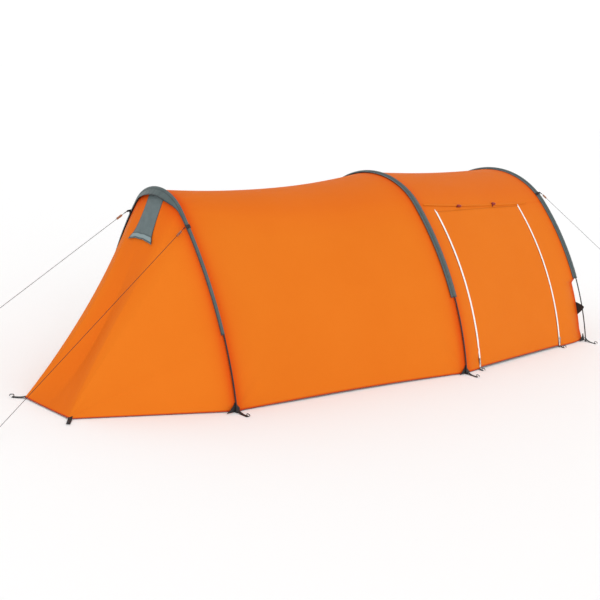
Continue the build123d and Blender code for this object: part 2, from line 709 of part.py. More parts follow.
# Guy lines, their tabs, runners and pegs.
guys = {
    "rear_near": (REAR, 180 - REAR.angle_at(REAR_TAB_Z), -1, REAR_NEAR_PEG),
    "rear_far": (REAR, REAR.angle_at(REAR_TAB_Z), -1, REAR_FAR_PEG),
    "front_near": (FRONT, 180 - FRONT.angle_at(FRONT_TAB_Z), 1, FRONT_NEAR_PEG),
}
tabs = [guy_tab(FRONT, FRONT.angle_at(FRONT_TAB_Z), 1)[0]]
guy_pegs = []
slides = {}
for name, (arch, angle, ahead, stake) in guys.items():
    tab, start = guy_tab(arch, angle, ahead)
    tabs.append(tab)
    line, direction, length = guy_line(start, stake)
    parts[name + "_guy_line"] = line
    parts[name + "_runner"] = runner(start, direction)
    guy_pegs.append(peg(stake[0], stake[1], degrees(atan2(direction.Y, direction.X))))
    slides[name] = (start, direction, length)
parts["guy_tabs"] = tabs
parts["guy_pegs"] = guy_pegs

# Inner tent: a floor, three hung walls, two end walls and a door toward the porch. Its front end
# stands upright whatever the rear hoop's lean.
inner_bay = bay(REAR, MIDDLE, LONG_BAY_SAG, (INNER_SPAN[0], 0.5, INNER_SPAN[1]))
last = inner_bay[2]
inner_bay[2] = Arch(last.x, 0.0, last.half, last.top, last.angles, last.skin)
inner_depth = INNER_GAP - SKIN
wall_foot = FLOOR_THICK + SEAM
parts["inner_near_wall"] = side_panel(inner_bay, True, wall_foot, None, inner_depth, INNER_CLOTH)
parts["inner_roof"] = roof_panel(inner_bay, inner_depth, INNER_CLOTH)
parts["inner_far_wall"] = side_panel(inner_bay, False, wall_foot, None, inner_depth, INNER_CLOTH)


def inner_end(arch, x):
    """An end wall of the inner tent, in its walls' outline, as if the arch stood upright at 0."""
    upright = Arch(0.0, 0.0, arch.half, arch.top, arch.angles, arch.skin)
    return flat_arch(upright, arch.skin + inner_depth, x, INNER_CLOTH, wall_foot)


start_arch = inner_bay[0]
end_arch = inner_bay[2]
corners = []
for arch in (start_arch, end_arch):
    corners.append(arch.point(arch.angle_at(wall_foot, arch.skin + inner_depth), arch.skin + inner_depth))
rear_corner, front_corner = corners
floor_outline = Polyline(
    (rear_corner.X, rear_corner.Y),
    (front_corner.X, front_corner.Y),
    (front_corner.X, -front_corner.Y),
    (rear_corner.X, -rear_corner.Y),
    close=True,
)
parts["inner_floor"] = extrude(make_face(floor_outline), amount=FLOOR_THICK)
rear_wall = inner_end(start_arch, -INNER_CLOTH)
parts["inner_rear_wall"] = Pos(start_arch.x, 0, 0) * Rot(0, -start_arch.lean, 0) * rear_wall
inner_x = end_arch.x
inner_hole = block(
    (inner_x - 60, -INNER_DOOR_HALF, INNER_DOOR_SILL), (inner_x + 60, INNER_DOOR_HALF, INNER_DOOR_TOP)
)
parts["inner_front_wall"] = inner_end(end_arch, inner_x) - inner_hole
parts["inner_door"] = block(
    (inner_x, -INNER_DOOR_HALF + DOOR_GAP, INNER_DOOR_SILL + DOOR_GAP),
    (inner_x + INNER_CLOTH, INNER_DOOR_HALF - DOOR_GAP, INNER_DOOR_TOP - DOOR_GAP),
)
inner_hinge = Vector(inner_x + INNER_CLOTH + SEAM, -INNER_DOOR_HALF + DOOR_GAP / 2, INNER_DOOR_SILL)

# Elastic hangers between the inner roof and the hoops' cloth.
hangers = []
for arch in (inner_bay[0], inner_bay[2]):
    low = arch.point(90, arch.skin + inner_depth - SEAM)
    high = arch.point(90, arch.skin + CLOTH + SEAM)
    hangers.append(Pos(0, 0, (low.Z + high.Z) / 2) * Pos(high.X, 0, 0) * Cylinder(2, high.Z - low.Z))
parts["inner_hangers"] = hangers


def solids_of(item):
    """The separate solids of a part, however it was made."""
    pieces = item if isinstance(item, list) else [item]
    return [solid for piece in pieces for solid in piece.solids()]


CORD_PIECES = [n for n in parts if n.endswith(("_guy_line", "_runner")) or n == "guy_pegs"]
body = Compound([s for n, item in parts.items() if n not in CORD_PIECES for s in solids_of(item)])
box = body.bounding_box()
centre_x = (box.min.X + box.max.X) / 2
to_origin = Pos(-centre_x, 0, 0)

os.makedirs("parts", exist_ok=True)
for name, item in parts.items():
    export_step(to_origin * Compound(solids_of(item)), f"parts/{name}.step")

print("origin x", round(centre_x, 3), "box", box.min, box.max)
print("side door hinge", side_hinge - Vector(centre_x, 0, 0))
print("side zip axes", rear_axis, front_axis, "travel", rear_travel, front_travel)
print("front door hinge", front_hinge - Vector(centre_x, 0, 0))
print("inner door hinge", inner_hinge - Vector(centre_x, 0, 0))
print("hood hinge", hood_hinge - Vector(centre_x, 0, 0))
for name, (start, direction, length) in slides.items():
    print(name, "guy from", start - Vector(centre_x, 0, 0), "along", direction, "length", round(length, 1))
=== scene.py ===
import math

import bpy
import numpy as np
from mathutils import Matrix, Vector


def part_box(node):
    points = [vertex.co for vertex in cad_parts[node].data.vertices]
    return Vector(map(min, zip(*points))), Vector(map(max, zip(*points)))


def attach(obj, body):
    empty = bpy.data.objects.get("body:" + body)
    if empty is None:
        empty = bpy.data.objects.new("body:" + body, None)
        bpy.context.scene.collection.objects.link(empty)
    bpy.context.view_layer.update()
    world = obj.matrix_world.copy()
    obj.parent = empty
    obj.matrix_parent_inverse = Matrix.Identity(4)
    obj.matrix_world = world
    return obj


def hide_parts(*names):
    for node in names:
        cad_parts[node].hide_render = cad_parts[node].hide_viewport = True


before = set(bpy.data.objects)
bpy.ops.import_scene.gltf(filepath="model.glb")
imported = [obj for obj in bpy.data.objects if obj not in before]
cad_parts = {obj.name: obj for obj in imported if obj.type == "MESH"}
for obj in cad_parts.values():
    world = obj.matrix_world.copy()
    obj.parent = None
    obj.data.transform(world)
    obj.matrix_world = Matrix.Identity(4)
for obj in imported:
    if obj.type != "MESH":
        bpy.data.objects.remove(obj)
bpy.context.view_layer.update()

# ----------------------------------------
# The studio: a wide pale sheet on the floor, a white sky that is strongest near the horizon, one
# soft sun, and the camera, which stands behind the tent's near rear corner at a person's height.
# ----------------------------------------
front_low, front_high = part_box("front_pole_rods")
FRONT_X = (front_low.x + front_high.x) / 2
CAMERA_PLACE = (FRONT_X - 6.81331, -3.85703, 1.75237)
CAMERA_YAW = 0.689205
CAMERA_PITCH = -0.229613
CAMERA_ROLL = 0.103963
CAMERA_LENS = 62.02


def camera_axes(yaw, pitch, roll):
    """Right, up and backward of a camera that looks along yaw and pitch and then rolls."""
    ahead = np.array([math.cos(pitch) * math.cos(yaw), math.cos(pitch) * math.sin(yaw), math.sin(pitch)])
    level = np.cross(ahead, [0, 0, 1])
    level /= np.linalg.norm(level)
    upright = np.cross(level, ahead)
    right = level * math.cos(roll) + upright * math.sin(roll)
    up = upright * math.cos(roll) - level * math.sin(roll)
    return np.column_stack([right, up, -ahead])


camera_data = bpy.data.cameras.new("camera")
camera_data.lens = CAMERA_LENS
camera_data.sensor_width = 36
camera = bpy.data.objects.new("camera", camera_data)
turn = np.eye(4)
turn[:3, :3] = camera_axes(CAMERA_YAW, CAMERA_PITCH, CAMERA_ROLL)
turn[:3, 3] = CAMERA_PLACE
camera.matrix_world = turn.T.tolist()
bpy.context.scene.collection.objects.link(camera)
bpy.context.scene.camera = camera
bpy.context.scene.view_settings.view_transform = "Standard"


def node_material(name, colour, roughness):
    """A new material with its colour and roughness set, its node tree and its shader."""
    material = bpy.data.materials.new(name)
    material.use_nodes = True
    tree = material.node_tree
    shader = tree.nodes["Principled BSDF"]
    shader.inputs["Base Color"].default_value = (*colour, 1)
    shader.inputs["Roughness"].default_value = roughness
    return material, tree, shader


def add_node(tree, kind, values=None, **settings):
    """A node with its settings and inputs filled in; a value that is a socket is linked."""
    node = tree.nodes.new(kind)
    for key, value in settings.items():
        setattr(node, key, value)
    for key, value in (values or {}).items():
        if isinstance(value, bpy.types.NodeSocket):
            tree.links.new(value, node.inputs[key])
        else:
            node.inputs[key].default_value = value
    return node


def place(tree, kind):
    """The coordinates of a surface, by the name of their output."""
    return add_node(tree, "ShaderNodeTexCoord").outputs[kind]


def map_range(tree, value, start, end, low=0.0, high=1.0):
    """A value carried from one range, start to end, to another, low to high."""
    ranges = {"Value": value, "From Min": start, "From Max": end, "To Min": low, "To Max": high}
    return add_node(tree, "ShaderNodeMapRange", ranges).outputs["Result"]


def mix_colour(tree, share, first, second):
    """The colour between two by a share. The share and either colour may be a socket."""
    tones = [tone if isinstance(tone, bpy.types.NodeSocket) else (*tone, 1) for tone in (first, second)]
    inputs = {0: share, 6: tones[0], 7: tones[1]}
    return add_node(tree, "ShaderNodeMix", inputs, data_type="RGBA").outputs[2]


def paint(tree, shader, share, first, second):
    """Gives a surface the colour between two, by a share that is a pattern."""
    tree.links.new(mix_colour(tree, share, first, second), shader.inputs["Base Color"])


def noise(tree, scale, detail, **more):
    """Soft noise on the object's own coordinates, in metres."""
    values = {"Vector": place(tree, "Object"), "Scale": scale, "Detail": detail, **more}
    return add_node(tree, "ShaderNodeTexNoise", values).outputs["Fac"]


SKY_HEIGHTS = (0.05, 0.9)
SKY_STRENGTHS = (1.12, 0.90)
SUN_DIRECTION = (0.62, 0.75, -0.42)
SUN_STRENGTH = 0.95
SUN_SPREAD = 40
FLOOR = 40.0
sky = bpy.data.worlds.new("sky")
sky.use_nodes = True
background = sky.node_tree.nodes["Background"]
background.inputs["Color"].default_value = (1, 1, 1, 1)
sky_parts = add_node(sky.node_tree, "ShaderNodeSeparateXYZ", {0: place(sky.node_tree, "Generated")})
sky_strength = map_range(sky.node_tree, sky_parts.outputs["Z"], *SKY_HEIGHTS, *SKY_STRENGTHS)
sky.node_tree.links.new(sky_strength, background.inputs["Strength"])
bpy.context.scene.world = sky


def soft_sun(name, toward, strength, spread):
    """A distant lamp that shines along toward, from a disc spread degrees wide."""
    data = bpy.data.lights.new(name, "SUN")
    data.energy = strength
    data.angle = math.radians(spread)
    lamp = bpy.data.objects.new(name, data)
    back = -np.array(toward, float) / np.linalg.norm(toward)
    side = np.cross([0, 0, 1], back)
    side /= np.linalg.norm(side)
    matrix = np.eye(4)
    matrix[:3, :3] = np.column_stack([side, np.cross(back, side), back])
    lamp.matrix_world = matrix.T.tolist()
    bpy.context.scene.collection.objects.link(lamp)


soft_sun("key_sun", SUN_DIRECTION, SUN_STRENGTH, SUN_SPREAD)
floor_material, floor_tree, floor_shader = node_material("studio_sheet", (0.93, 0.93, 0.93), 0.9)
sheet_grain = add_node(floor_tree, "ShaderNodeTexNoise", {"Scale": 3.0, "Detail": 2.0})
paint(floor_tree, floor_shader, sheet_grain.outputs["Fac"], (0.92, 0.92, 0.92), (0.95, 0.95, 0.95))
floor_mesh = bpy.data.meshes.new("studio_floor")
floor_corners = [(-FLOOR, -FLOOR, 0), (FLOOR, -FLOOR, 0), (FLOOR, FLOOR, 0), (-FLOOR, FLOOR, 0)]
floor_mesh.from_pydata(floor_corners, [], [(0, 1, 2, 3)])
floor_mesh.materials.append(floor_material)
studio_floor = bpy.data.objects.new("studio_floor", floor_mesh)
bpy.context.scene.collection.objects.link(studio_floor)

# ----------------------------------------
# Guy lines: braided polyester cord, knotted to the webbing tabs on the hoops and looped over wire
# pegs. A flat moulded runner on each line takes up its slack.
# ----------------------------------------
GUY_DIAMETER = 0.0025
GUY_ROUTES = {
    "rear_near": [
        (-1.35386, -0.22157, 0.89029),
        (-1.69410, -0.20709, 0.59803),
        (-2.03435, -0.19260, 0.30577),
        (-2.37459, -0.17812, 0.01351),
    ],
    "rear_far": [
        (-1.35386, 0.22157, 0.89029),
        (-1.70347, 0.34604, 0.59798),
        (-2.05308, 0.47052, 0.30568),
        (-2.40269, 0.59499, 0.01337),
    ],
    "front_near": [
        (2.01213, -0.35923, 0.97739),
        (2.41866, -0.60493, 0.65599),
        (2.82520, -0.85064, 0.33458),
        (3.23173, -1.09634, 0.01318),
    ],
}


def ring(radius, sides, flat=1.0):
    """A round profile, or an oval one where flat is less than 1."""
    turn = np.linspace(0, 2 * np.pi, sides, endpoint=False)
    return np.stack([radius * np.cos(turn), radius * flat * np.sin(turn)], -1)


def closed_mesh(name, points, faces, corner_uv=None):
    """Puts closed faces into a mesh, turned so that the volume that they enclose is positive. The
    volume is the sum over the triangles of a fan of a . (b x c) / 6."""
    volume = 0.0
    for group in faces:
        first = points[group[:, 0]]
        for k in range(1, group.shape[1] - 1):
            fan = np.cross(points[group[:, k]], points[group[:, k + 1]])
            volume += np.einsum("ij,ij->", first, fan)
    if volume < 0:
        faces = [group[:, ::-1] for group in faces]
        corner_uv = None if corner_uv is None else corner_uv[:, ::-1]
    mesh = bpy.data.meshes.new(name)
    mesh.from_pydata(points.tolist(), [], [face for group in faces for face in group.tolist()])
    if corner_uv is not None:
        layer = mesh.uv_layers.new(name="UVMap")
        spread = np.zeros((len(mesh.loops), 2), np.float32)
        flat_uv = corner_uv.reshape(-1, 2)
        spread[: len(flat_uv)] = flat_uv
        layer.data.foreach_set("uv", spread.ravel())
    mesh.polygons.foreach_set("use_smooth", np.ones(len(mesh.polygons), bool))
    mesh.update()
    piece = bpy.data.objects.new(name, mesh)
    bpy.context.scene.collection.objects.link(piece)
    return piece


def solid_along(name, path, across, out, profile):
    """A closed solid: at each point of the path the profile's points (a, b) stand at
    path + a across + b out. Neighbouring rings are joined and both ends are closed. The UV map runs
    along the path and round the profile, in metres."""
    path, across, out = np.broadcast_arrays(path, across, out)
    profile = np.broadcast_to(profile, (len(path),) + np.shape(profile)[-2:])
    points = path[:, None] + profile[..., :1] * across[:, None] + profile[..., 1:] * out[:, None]
    rows, sides = points.shape[:2]
    index = np.arange(rows * sides).reshape(rows, sides)
    after = np.roll(index, -1, axis=1)
    quads = np.stack([index[:-1], after[:-1], after[1:], index[1:]], -1).reshape(-1, 4)
    run = np.concatenate([[0], np.cumsum(np.linalg.norm(np.diff(path, axis=0), axis=-1))])
    girth = np.linalg.norm(np.diff(np.vstack([profile[0], profile[0][:1]]), axis=0), axis=-1)
    round_run = np.concatenate([[0], np.cumsum(girth)])
    corners = []
    for i, j in ((0, 0), (0, 1), (1, 1), (1, 0)):
        pair = np.broadcast_arrays(run[i : rows - 1 + i, None], round_run[None, j : sides + j])
        corners.append(np.stack(pair, -1))
    uv = np.stack(corners, 2).reshape(-1, 4, 2)
    return closed_mesh(name, points.reshape(-1, 3), [quads, index[:1, ::-1], index[-1:]], uv)


def unit(vector):
    """The vector, or each row of vectors, at length one."""
    return vector / np.linalg.norm(vector, axis=-1, keepdims=True)


def tube_frame(path, hint):
    """Two directions square to a path: one nearest to the hint, and the one square to both."""
    ahead = unit(np.gradient(path, axis=0))
    first = unit(np.asarray(hint, float) - (ahead @ np.asarray(hint, float))[:, None] * ahead)
    return first, np.cross(ahead, first)


def bezier(points, count):
    """The Bezier curve of a few corner points: each weighs C(n, k) t^k (1 - t)^(n - k)."""
    points = np.asarray(points, float)
    n = len(points) - 1
    t = np.linspace(0, 1, count)[:, None]
    weights = [math.comb(n, k) * t**k * (1 - t) ** (n - k) for k in range(n + 1)]
    return sum(w * p for w, p in zip(weights, points))


def raise_surface(tree, shader, height, strength, depth):
    """Bump of a height pattern on a surface: how strong, and how deep in metres."""
    bump = add_node(tree, "ShaderNodeBump", {"Height": height, "Strength": strength, "Distance": depth})
    tree.links.new(bump.outputs["Normal"], shader.inputs["Normal"])


def combine(tree, operation, first, second):
    """Two patterns joined by an arithmetic operation."""
    return add_node(tree, "ShaderNodeMath", {0: first, 1: second}, operation=operation).outputs[0]


def cord_material():
    """Braided cord: two crossed diagonal waves along its length in two very dark browns."""
    material, tree, shader = node_material("guy_cord", (0.045, 0.028, 0.026), 0.75)
    braid = []
    for turn in (0.7, -0.7):
        values = {"Vector": place(tree, "Object"), "Rotation": (0.6, turn, turn)}
        tilt = add_node(tree, "ShaderNodeMapping", values).outputs["Vector"]
        wave = add_node(tree, "ShaderNodeTexWave", {"Vector": tilt, "Scale": 120.0})
        braid.append(wave.outputs["Fac"])
    plait = combine(tree, "MAXIMUM", *braid)
    paint(tree, shader, plait, (0.006, 0.002, 0.002), (0.026, 0.007, 0.006))
    raise_surface(tree, shader, plait, 0.6, 0.0004)
    return material


def dress(node, material):
    """Gives a CAD node its finished material."""
    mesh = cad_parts[node].data
    mesh.materials.clear()
    mesh.materials.append(material)


def settle(piece, material, body):
    """Gives a piece its material and the body that it moves with."""
    piece.data.materials.append(material)
    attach(piece, body)
    return piece


KNOT_CORD = ring(0.0012, 8)
KNOT_START = 0.004
KNOT_PITCH = 0.0022
KNOT_RADIUS = 0.0021
LOOP_LONG = 0.0055
LOOP_WIDE = 0.0045
guy_cord = cord_material()
for guy_name, route in GUY_ROUTES.items():
    curve = bpy.data.curves.new(guy_name + "_guy", "CURVE")
    curve.dimensions = "3D"
    curve.bevel_depth = GUY_DIAMETER / 2
    curve.bevel_resolution = 3
    curve.resolution_u = 8
    curve.use_fill_caps = True
    spline = curve.splines.new("NURBS")
    spline.points.add(len(route) - 1)
    for point, spot in zip(spline.points, route):
        point.co = (*spot, 1)
    spline.order_u = 3
    spline.use_endpoint_u = True
    line = bpy.data.objects.new(guy_name + "_guy", curve)
    bpy.context.scene.collection.objects.link(line)
    settle(line, guy_cord, "tent")
    start, end = np.array(route[0]), np.array(route[-1])
    ahead = unit(end - start)
    side = unit(np.cross(ahead, [0, 0, 1]))
    above = np.cross(side, ahead)
    turn = np.linspace(0, 5 * np.pi, 46)[:, None]
    coil = (side * np.cos(turn) + above * np.sin(turn)) * KNOT_RADIUS
    wind = start + ahead * (KNOT_START + KNOT_PITCH * turn / np.pi) + coil
    knot = solid_along(guy_name + "_tab_knot", wind, *tube_frame(wind, ahead), KNOT_CORD)
    swing = np.linspace(0, 2 * np.pi, 40)[:, None]
    flat_ahead = unit(ahead * [1, 1, 0])
    swell = np.sqrt((1 - np.cos(swing)) / 2 + 0.02)
    loop = end + flat_ahead * LOOP_LONG * (1 - np.cos(swing)) / 2 * 1.6
    loop = (loop + side * LOOP_WIDE * np.sin(swing) * swell)[:-1]
    bight = solid_along(guy_name + "_peg_loop", loop, *tube_frame(loop, (0, 0, 1)), KNOT_CORD)
    for extra in (knot, bight):
        settle(extra, guy_cord, "tent")
    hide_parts(guy_name + "_guy_line")

# ----------------------------------------
# Hoop poles: hollow black glass-fibre rods pushed end to end into steel ferrules, on a shock cord,
# and stood on plastic foot plugs. Each hoop is bent into one smooth line of three arcs.
# ----------------------------------------
TAIL_X = FRONT_X - 3.950
# where the hoop stands, its lean, half width, top, and the angles of its side arcs
REAR = dict(x=FRONT_X - 3.198, lean=7.2, half=0.549, top=1.048, foot=8.0, shoulder=35.0)
MIDDLE = dict(x=FRONT_X - 1.516, lean=0.0, half=0.851, top=1.100, foot=12.9, shoulder=43.5)
FRONT = dict(x=FRONT_X, lean=0.0, half=0.900, top=1.100, foot=12.9, shoulder=43.5)


def hoop_arcs(hoop):
    """Radii and centres of the side and roof arcs that reach the half width and the top with
    tangent joins: the radii solve two linear equations in the arcs' end directions."""
    lean, foot, shoulder = (np.radians(hoop[k]) for k in ("lean", "foot", "shoulder"))
    height = hoop["top"] / np.cos(lean)
    across = np.cos(foot) - np.cos(shoulder)
    up = np.sin(foot) - np.sin(shoulder)
    det = np.cos(shoulder) * up - across * (np.sin(shoulder) - 1)
    roof_r = (hoop["half"] * up + across * height) / det
    side_r = -(np.cos(shoulder) * height + (np.sin(shoulder) - 1) * hoop["half"]) / det
    roof_v = height - roof_r
    side_u = (roof_r - side_r) * np.cos(shoulder)
    side_v = roof_v + (roof_r - side_r) * np.sin(shoulder)
    return roof_r, side_r, roof_v, side_u, side_v


def side_angle(hoop, z, inset):
    """The angle on the side arc, set in by inset, that lies at height z."""
    _, side_r, _, _, side_v = hoop_arcs(hoop)
    return np.arcsin((z / np.cos(np.radians(hoop["lean"])) - side_v) / (side_r - inset))


def hoop_points(hoop, u, inset, hem):
    """Points and outward directions along a hoop line set in by inset. u runs from 0 at the near
    hem over 1 and 2, the shoulders, to 3 at the far hem, evenly in angle along each arc."""
    roof_r, side_r, roof_v, side_u, side_v = hoop_arcs(hoop)
    lean = np.radians(hoop["lean"])
    shoulder = np.radians(hoop["shoulder"])
    start = side_angle(hoop, hem, inset)
    u = np.asarray(u, float)
    roof = (u > 1) & (u < 2)
    climb = np.where(u <= 1, u, 3 - u)
    roof_angle = shoulder + (np.pi - 2 * shoulder) * (u - 1)
    angle = np.where(roof, roof_angle, start + (shoulder - start) * climb)
    side = np.where(u <= 1, -1.0, 1.0)
    radius = np.where(roof, roof_r, side_r) - inset
    y = np.where(roof, -radius * np.cos(angle), side * (side_u + radius * np.cos(angle)))
    v = np.where(roof, roof_v, side_v) + radius * np.sin(angle)
    n_y = np.where(roof, -np.cos(angle), side * np.cos(angle))
    n_v = np.sin(angle)
    points = np.stack([hoop["x"] - v * np.sin(lean), y, v * np.cos(lean)], -1)
    normals = np.stack([-n_v * np.sin(lean), n_y, n_v * np.cos(lean)], -1)
    return points, normals


def between_hoops(a, b, t, side_sag, roof_sag):
    """The canopy's arch a share t of the way from hoop a to b, drawn in by a sag that is zero at the
    hoops and greatest halfway, as a parabola."""
    dip = 4 * t * (1 - t)
    arch = {k: a[k] + (b[k] - a[k]) * t for k in a}
    arch["half"] = arch["half"] - side_sag * dip
    arch["top"] = arch["top"] - roof_sag * dip
    return arch


def fibre_material():
    """Pulled glass-fibre rod: near black, smooth, with faint streaks."""
    material, tree, shader = node_material("pole_fibre", (0.012, 0.012, 0.014), 0.34)
    streak = noise(tree, 260.0, 4.0)
    paint(tree, shader, streak, (0.007, 0.007, 0.008), (0.028, 0.028, 0.031))
    raise_surface(tree, shader, streak, 0.15, 0.0002)
    shader.inputs["Coat Weight"].default_value = 0.3
    shader.inputs["Specular IOR Level"].default_value = 0.2
    return material


def metal_material(name, colour, roughness, grain):
    """Plated steel wire or tube: a fine grain with duller patches."""
    material, tree, shader = node_material(name, colour, roughness)
    shader.inputs["Metallic"].default_value = 0.95
    patch = noise(tree, grain, 6.0)
    paint(tree, shader, patch, tuple(c * 0.55 for c in colour), colour)
    rough = map_range(tree, patch, 0.0, 1.0, roughness * 0.7, roughness * 1.4)
    tree.links.new(rough, shader.inputs["Roughness"])
    raise_surface(tree, shader, patch, 0.2, 0.0003)
    return material


def moulded_material(name, colour, roughness):
    """Moulded plastic, or rubber: an even tone with a fine grain."""
    material, tree, shader = node_material(name, colour, roughness)
    grain = noise(tree, 900.0, 3.0)
    paint(tree, shader, grain, tuple(c * 0.7 for c in colour), tuple(c * 1.3 for c in colour))
    raise_surface(tree, shader, grain, 0.25, 0.0002)
    return material


fibre = fibre_material()
steel = metal_material("ferrule_steel", (0.55, 0.56, 0.58), 0.28, 90.0)
plug_plastic = moulded_material("moulded_black", (0.016, 0.016, 0.018), 0.5)
for hoop_name in ("rear", "middle", "front"):
    dress(hoop_name + "_pole_rods", fibre)
dress("pole_ferrules", steel)
dress("pole_foot_plugs", plug_plastic)
dress("pole_shock_cords", moulded_material("shock_cord", (0.04, 0.04, 0.045), 0.8))

# ----------------------------------------
# Pole sleeves: a strip of grey coated cloth folded round each pole, with a flat skirt on both sides
# that two rows of stitching hold to the canopy. They stop well above the ground in a bound cuff.
# ----------------------------------------
SLEEVE_CLOTH = 0.0007
SKIRT = 0.0310
REAR_SKIRT = 0.0112
REAR_CAP = 0.029
BULGE_HALF = 0.0092
BULGE_RISE = 0.0118
SKIRT_LEVEL = 0.0053
CAP_SLOPE = 0.80
SLEEVE_ENDS = {"rear": 0.388, "middle": 0.444, "front": 0.429}
GATHER_HEIGHT = 0.00045
RIM_SHARE = 0.13
STITCH_WIDE = 0.0012
CUFF_WIDE = 0.006
SLEEVE_ROWS = 361
SLEEVE_COLUMNS = 41


def sheet_mesh(name, points, uv, keep=None, shade=None, outward=None):
    """A mesh over a grid of points (rows, columns, 3) with a UV map in metres. keep marks the
    cells that are cloth, shade is stored as a point attribute, and the faces are turned so that
    most of them face the way that outward points, one direction or one for each point."""
    rows, columns = points.shape[:2]
    index = np.arange(rows * columns).reshape(rows, columns)
    quads = np.stack([index[:-1, :-1], index[1:, :-1], index[1:, 1:], index[:-1, 1:]], -1)
    if keep is not None:
        quads = quads[keep]
    quads = quads.reshape(-1, 4)
    flat = points.reshape(-1, 3)
    if outward is not None:
        across = np.cross(flat[quads[:, 2]] - flat[quads[:, 0]], flat[quads[:, 3]] - flat[quads[:, 1]])
        ahead = np.broadcast_to(outward, points.shape).reshape(-1, 3)[quads[:, 0]]
        if (across * ahead).sum() < 0:
            quads = quads[:, ::-1]
    used = np.unique(quads)
    order = np.full(len(flat), -1)
    order[used] = np.arange(len(used))
    quads = order[quads]
    mesh = bpy.data.meshes.new(name)
    mesh.vertices.add(len(used))
    mesh.vertices.foreach_set("co", flat[used].astype(np.float32).ravel())
    mesh.loops.add(quads.size)
    mesh.loops.foreach_set("vertex_index", quads.astype(np.int32).ravel())
    mesh.polygons.add(len(quads))
    mesh.polygons.foreach_set("loop_start", np.arange(0, quads.size, 4, dtype=np.int32))
    mesh.polygons.foreach_set("loop_total", np.full(len(quads), 4, np.int32))
    mesh.update(calc_edges=True)
    layer = mesh.uv_layers.new(name="UVMap")
    layer.data.foreach_set("uv", uv.reshape(-1, 2)[used][quads.ravel()].astype(np.float32).ravel())
    if shade is not None:
        attribute = mesh.attributes.new("shade", "FLOAT", "POINT")
        attribute.data.foreach_set("value", shade.ravel()[used].astype(np.float32))
    mesh.polygons.foreach_set("use_smooth", np.ones(len(quads), bool))
    mesh.validate()
    piece = bpy.data.objects.new(name, mesh)
    bpy.context.scene.collection.objects.link(piece)
    return piece


def grid(rows, columns):
    """Two coordinates over a grid: the first changes from row to row, the second along each row."""
    return np.meshgrid(rows, columns, indexing="ij")


def give_thickness(piece, thickness):
    """Turns an open sheet into a closed one, grown inward from its outer face."""
    solid = piece.modifiers.new("cloth", "SOLIDIFY")
    solid.thickness = thickness
    solid.offset = -1
    solid.use_even_offset = False
    return piece


def length_along(points):
    """The running length of a line of points along its first axis."""
    steps = np.linalg.norm(np.diff(points, axis=0), axis=-1)
    return np.concatenate([np.zeros((1,) + steps.shape[1:]), np.cumsum(steps, axis=0)])


def cloth_map(points):
    """A UV map over a grid of cloth: the running lengths down its columns and along its rows."""
    return np.stack([length_along(points), length_along(points.transpose(1, 0, 2)).T], -1)


def rib(tree, cell, axis="X"):
    """Ribs on the UV map: a sine wave along an axis, one rib to each cell metres."""
    values = {"Vector": place(tree, "UV"), "Scale": math.pi / (10 * cell)}
    return add_node(tree, "ShaderNodeTexWave", values, bands_direction=axis).outputs["Fac"]


def weave_bump(tree, shader, cell, strength, soft_scale):
    """Bump of a plain weave: two crossed waves on the UV map, one thread per cell, over a soft
    unevenness of the cloth, which it gives back as a pattern."""
    threads = combine(tree, "ADD", rib(tree, cell, "X"), rib(tree, cell, "Y"))
    soft = noise(tree, soft_scale, 3.0)
    low = add_node(tree, "ShaderNodeBump", {"Height": soft, "Strength": 0.5, "Distance": 0.004})
    values = {"Height": threads, "Strength": strength, "Distance": 0.0002}
    fine = add_node(tree, "ShaderNodeBump", {**values, "Normal": low.outputs["Normal"]})
    tree.links.new(fine.outputs["Normal"], shader.inputs["Normal"])
    return soft


def shade_mark(tree):
    """The sheet's shade attribute, which marks edges and seams; on the canopy it carries painted shade."""
    return add_node(tree, "ShaderNodeAttribute", attribute_name="shade").outputs["Fac"]


def sleeve_material():
    """Matt grey-green coated cloth: lighter along the crown, darker toward the stitched edges, which
    the sheet's shade attribute marks."""
    material, tree, shader = node_material("sleeve_cloth", (0.105, 0.145, 0.148), 0.62)
    soft = weave_bump(tree, shader, 0.0007, 0.5, 40.0)
    body = mix_colour(tree, soft, (0.040, 0.062, 0.064), (0.078, 0.108, 0.108))
    paint(tree, shader, shade_mark(tree), body, (0.006, 0.011, 0.013))
    shader.inputs["Sheen Weight"].default_value = 0.15
    return material


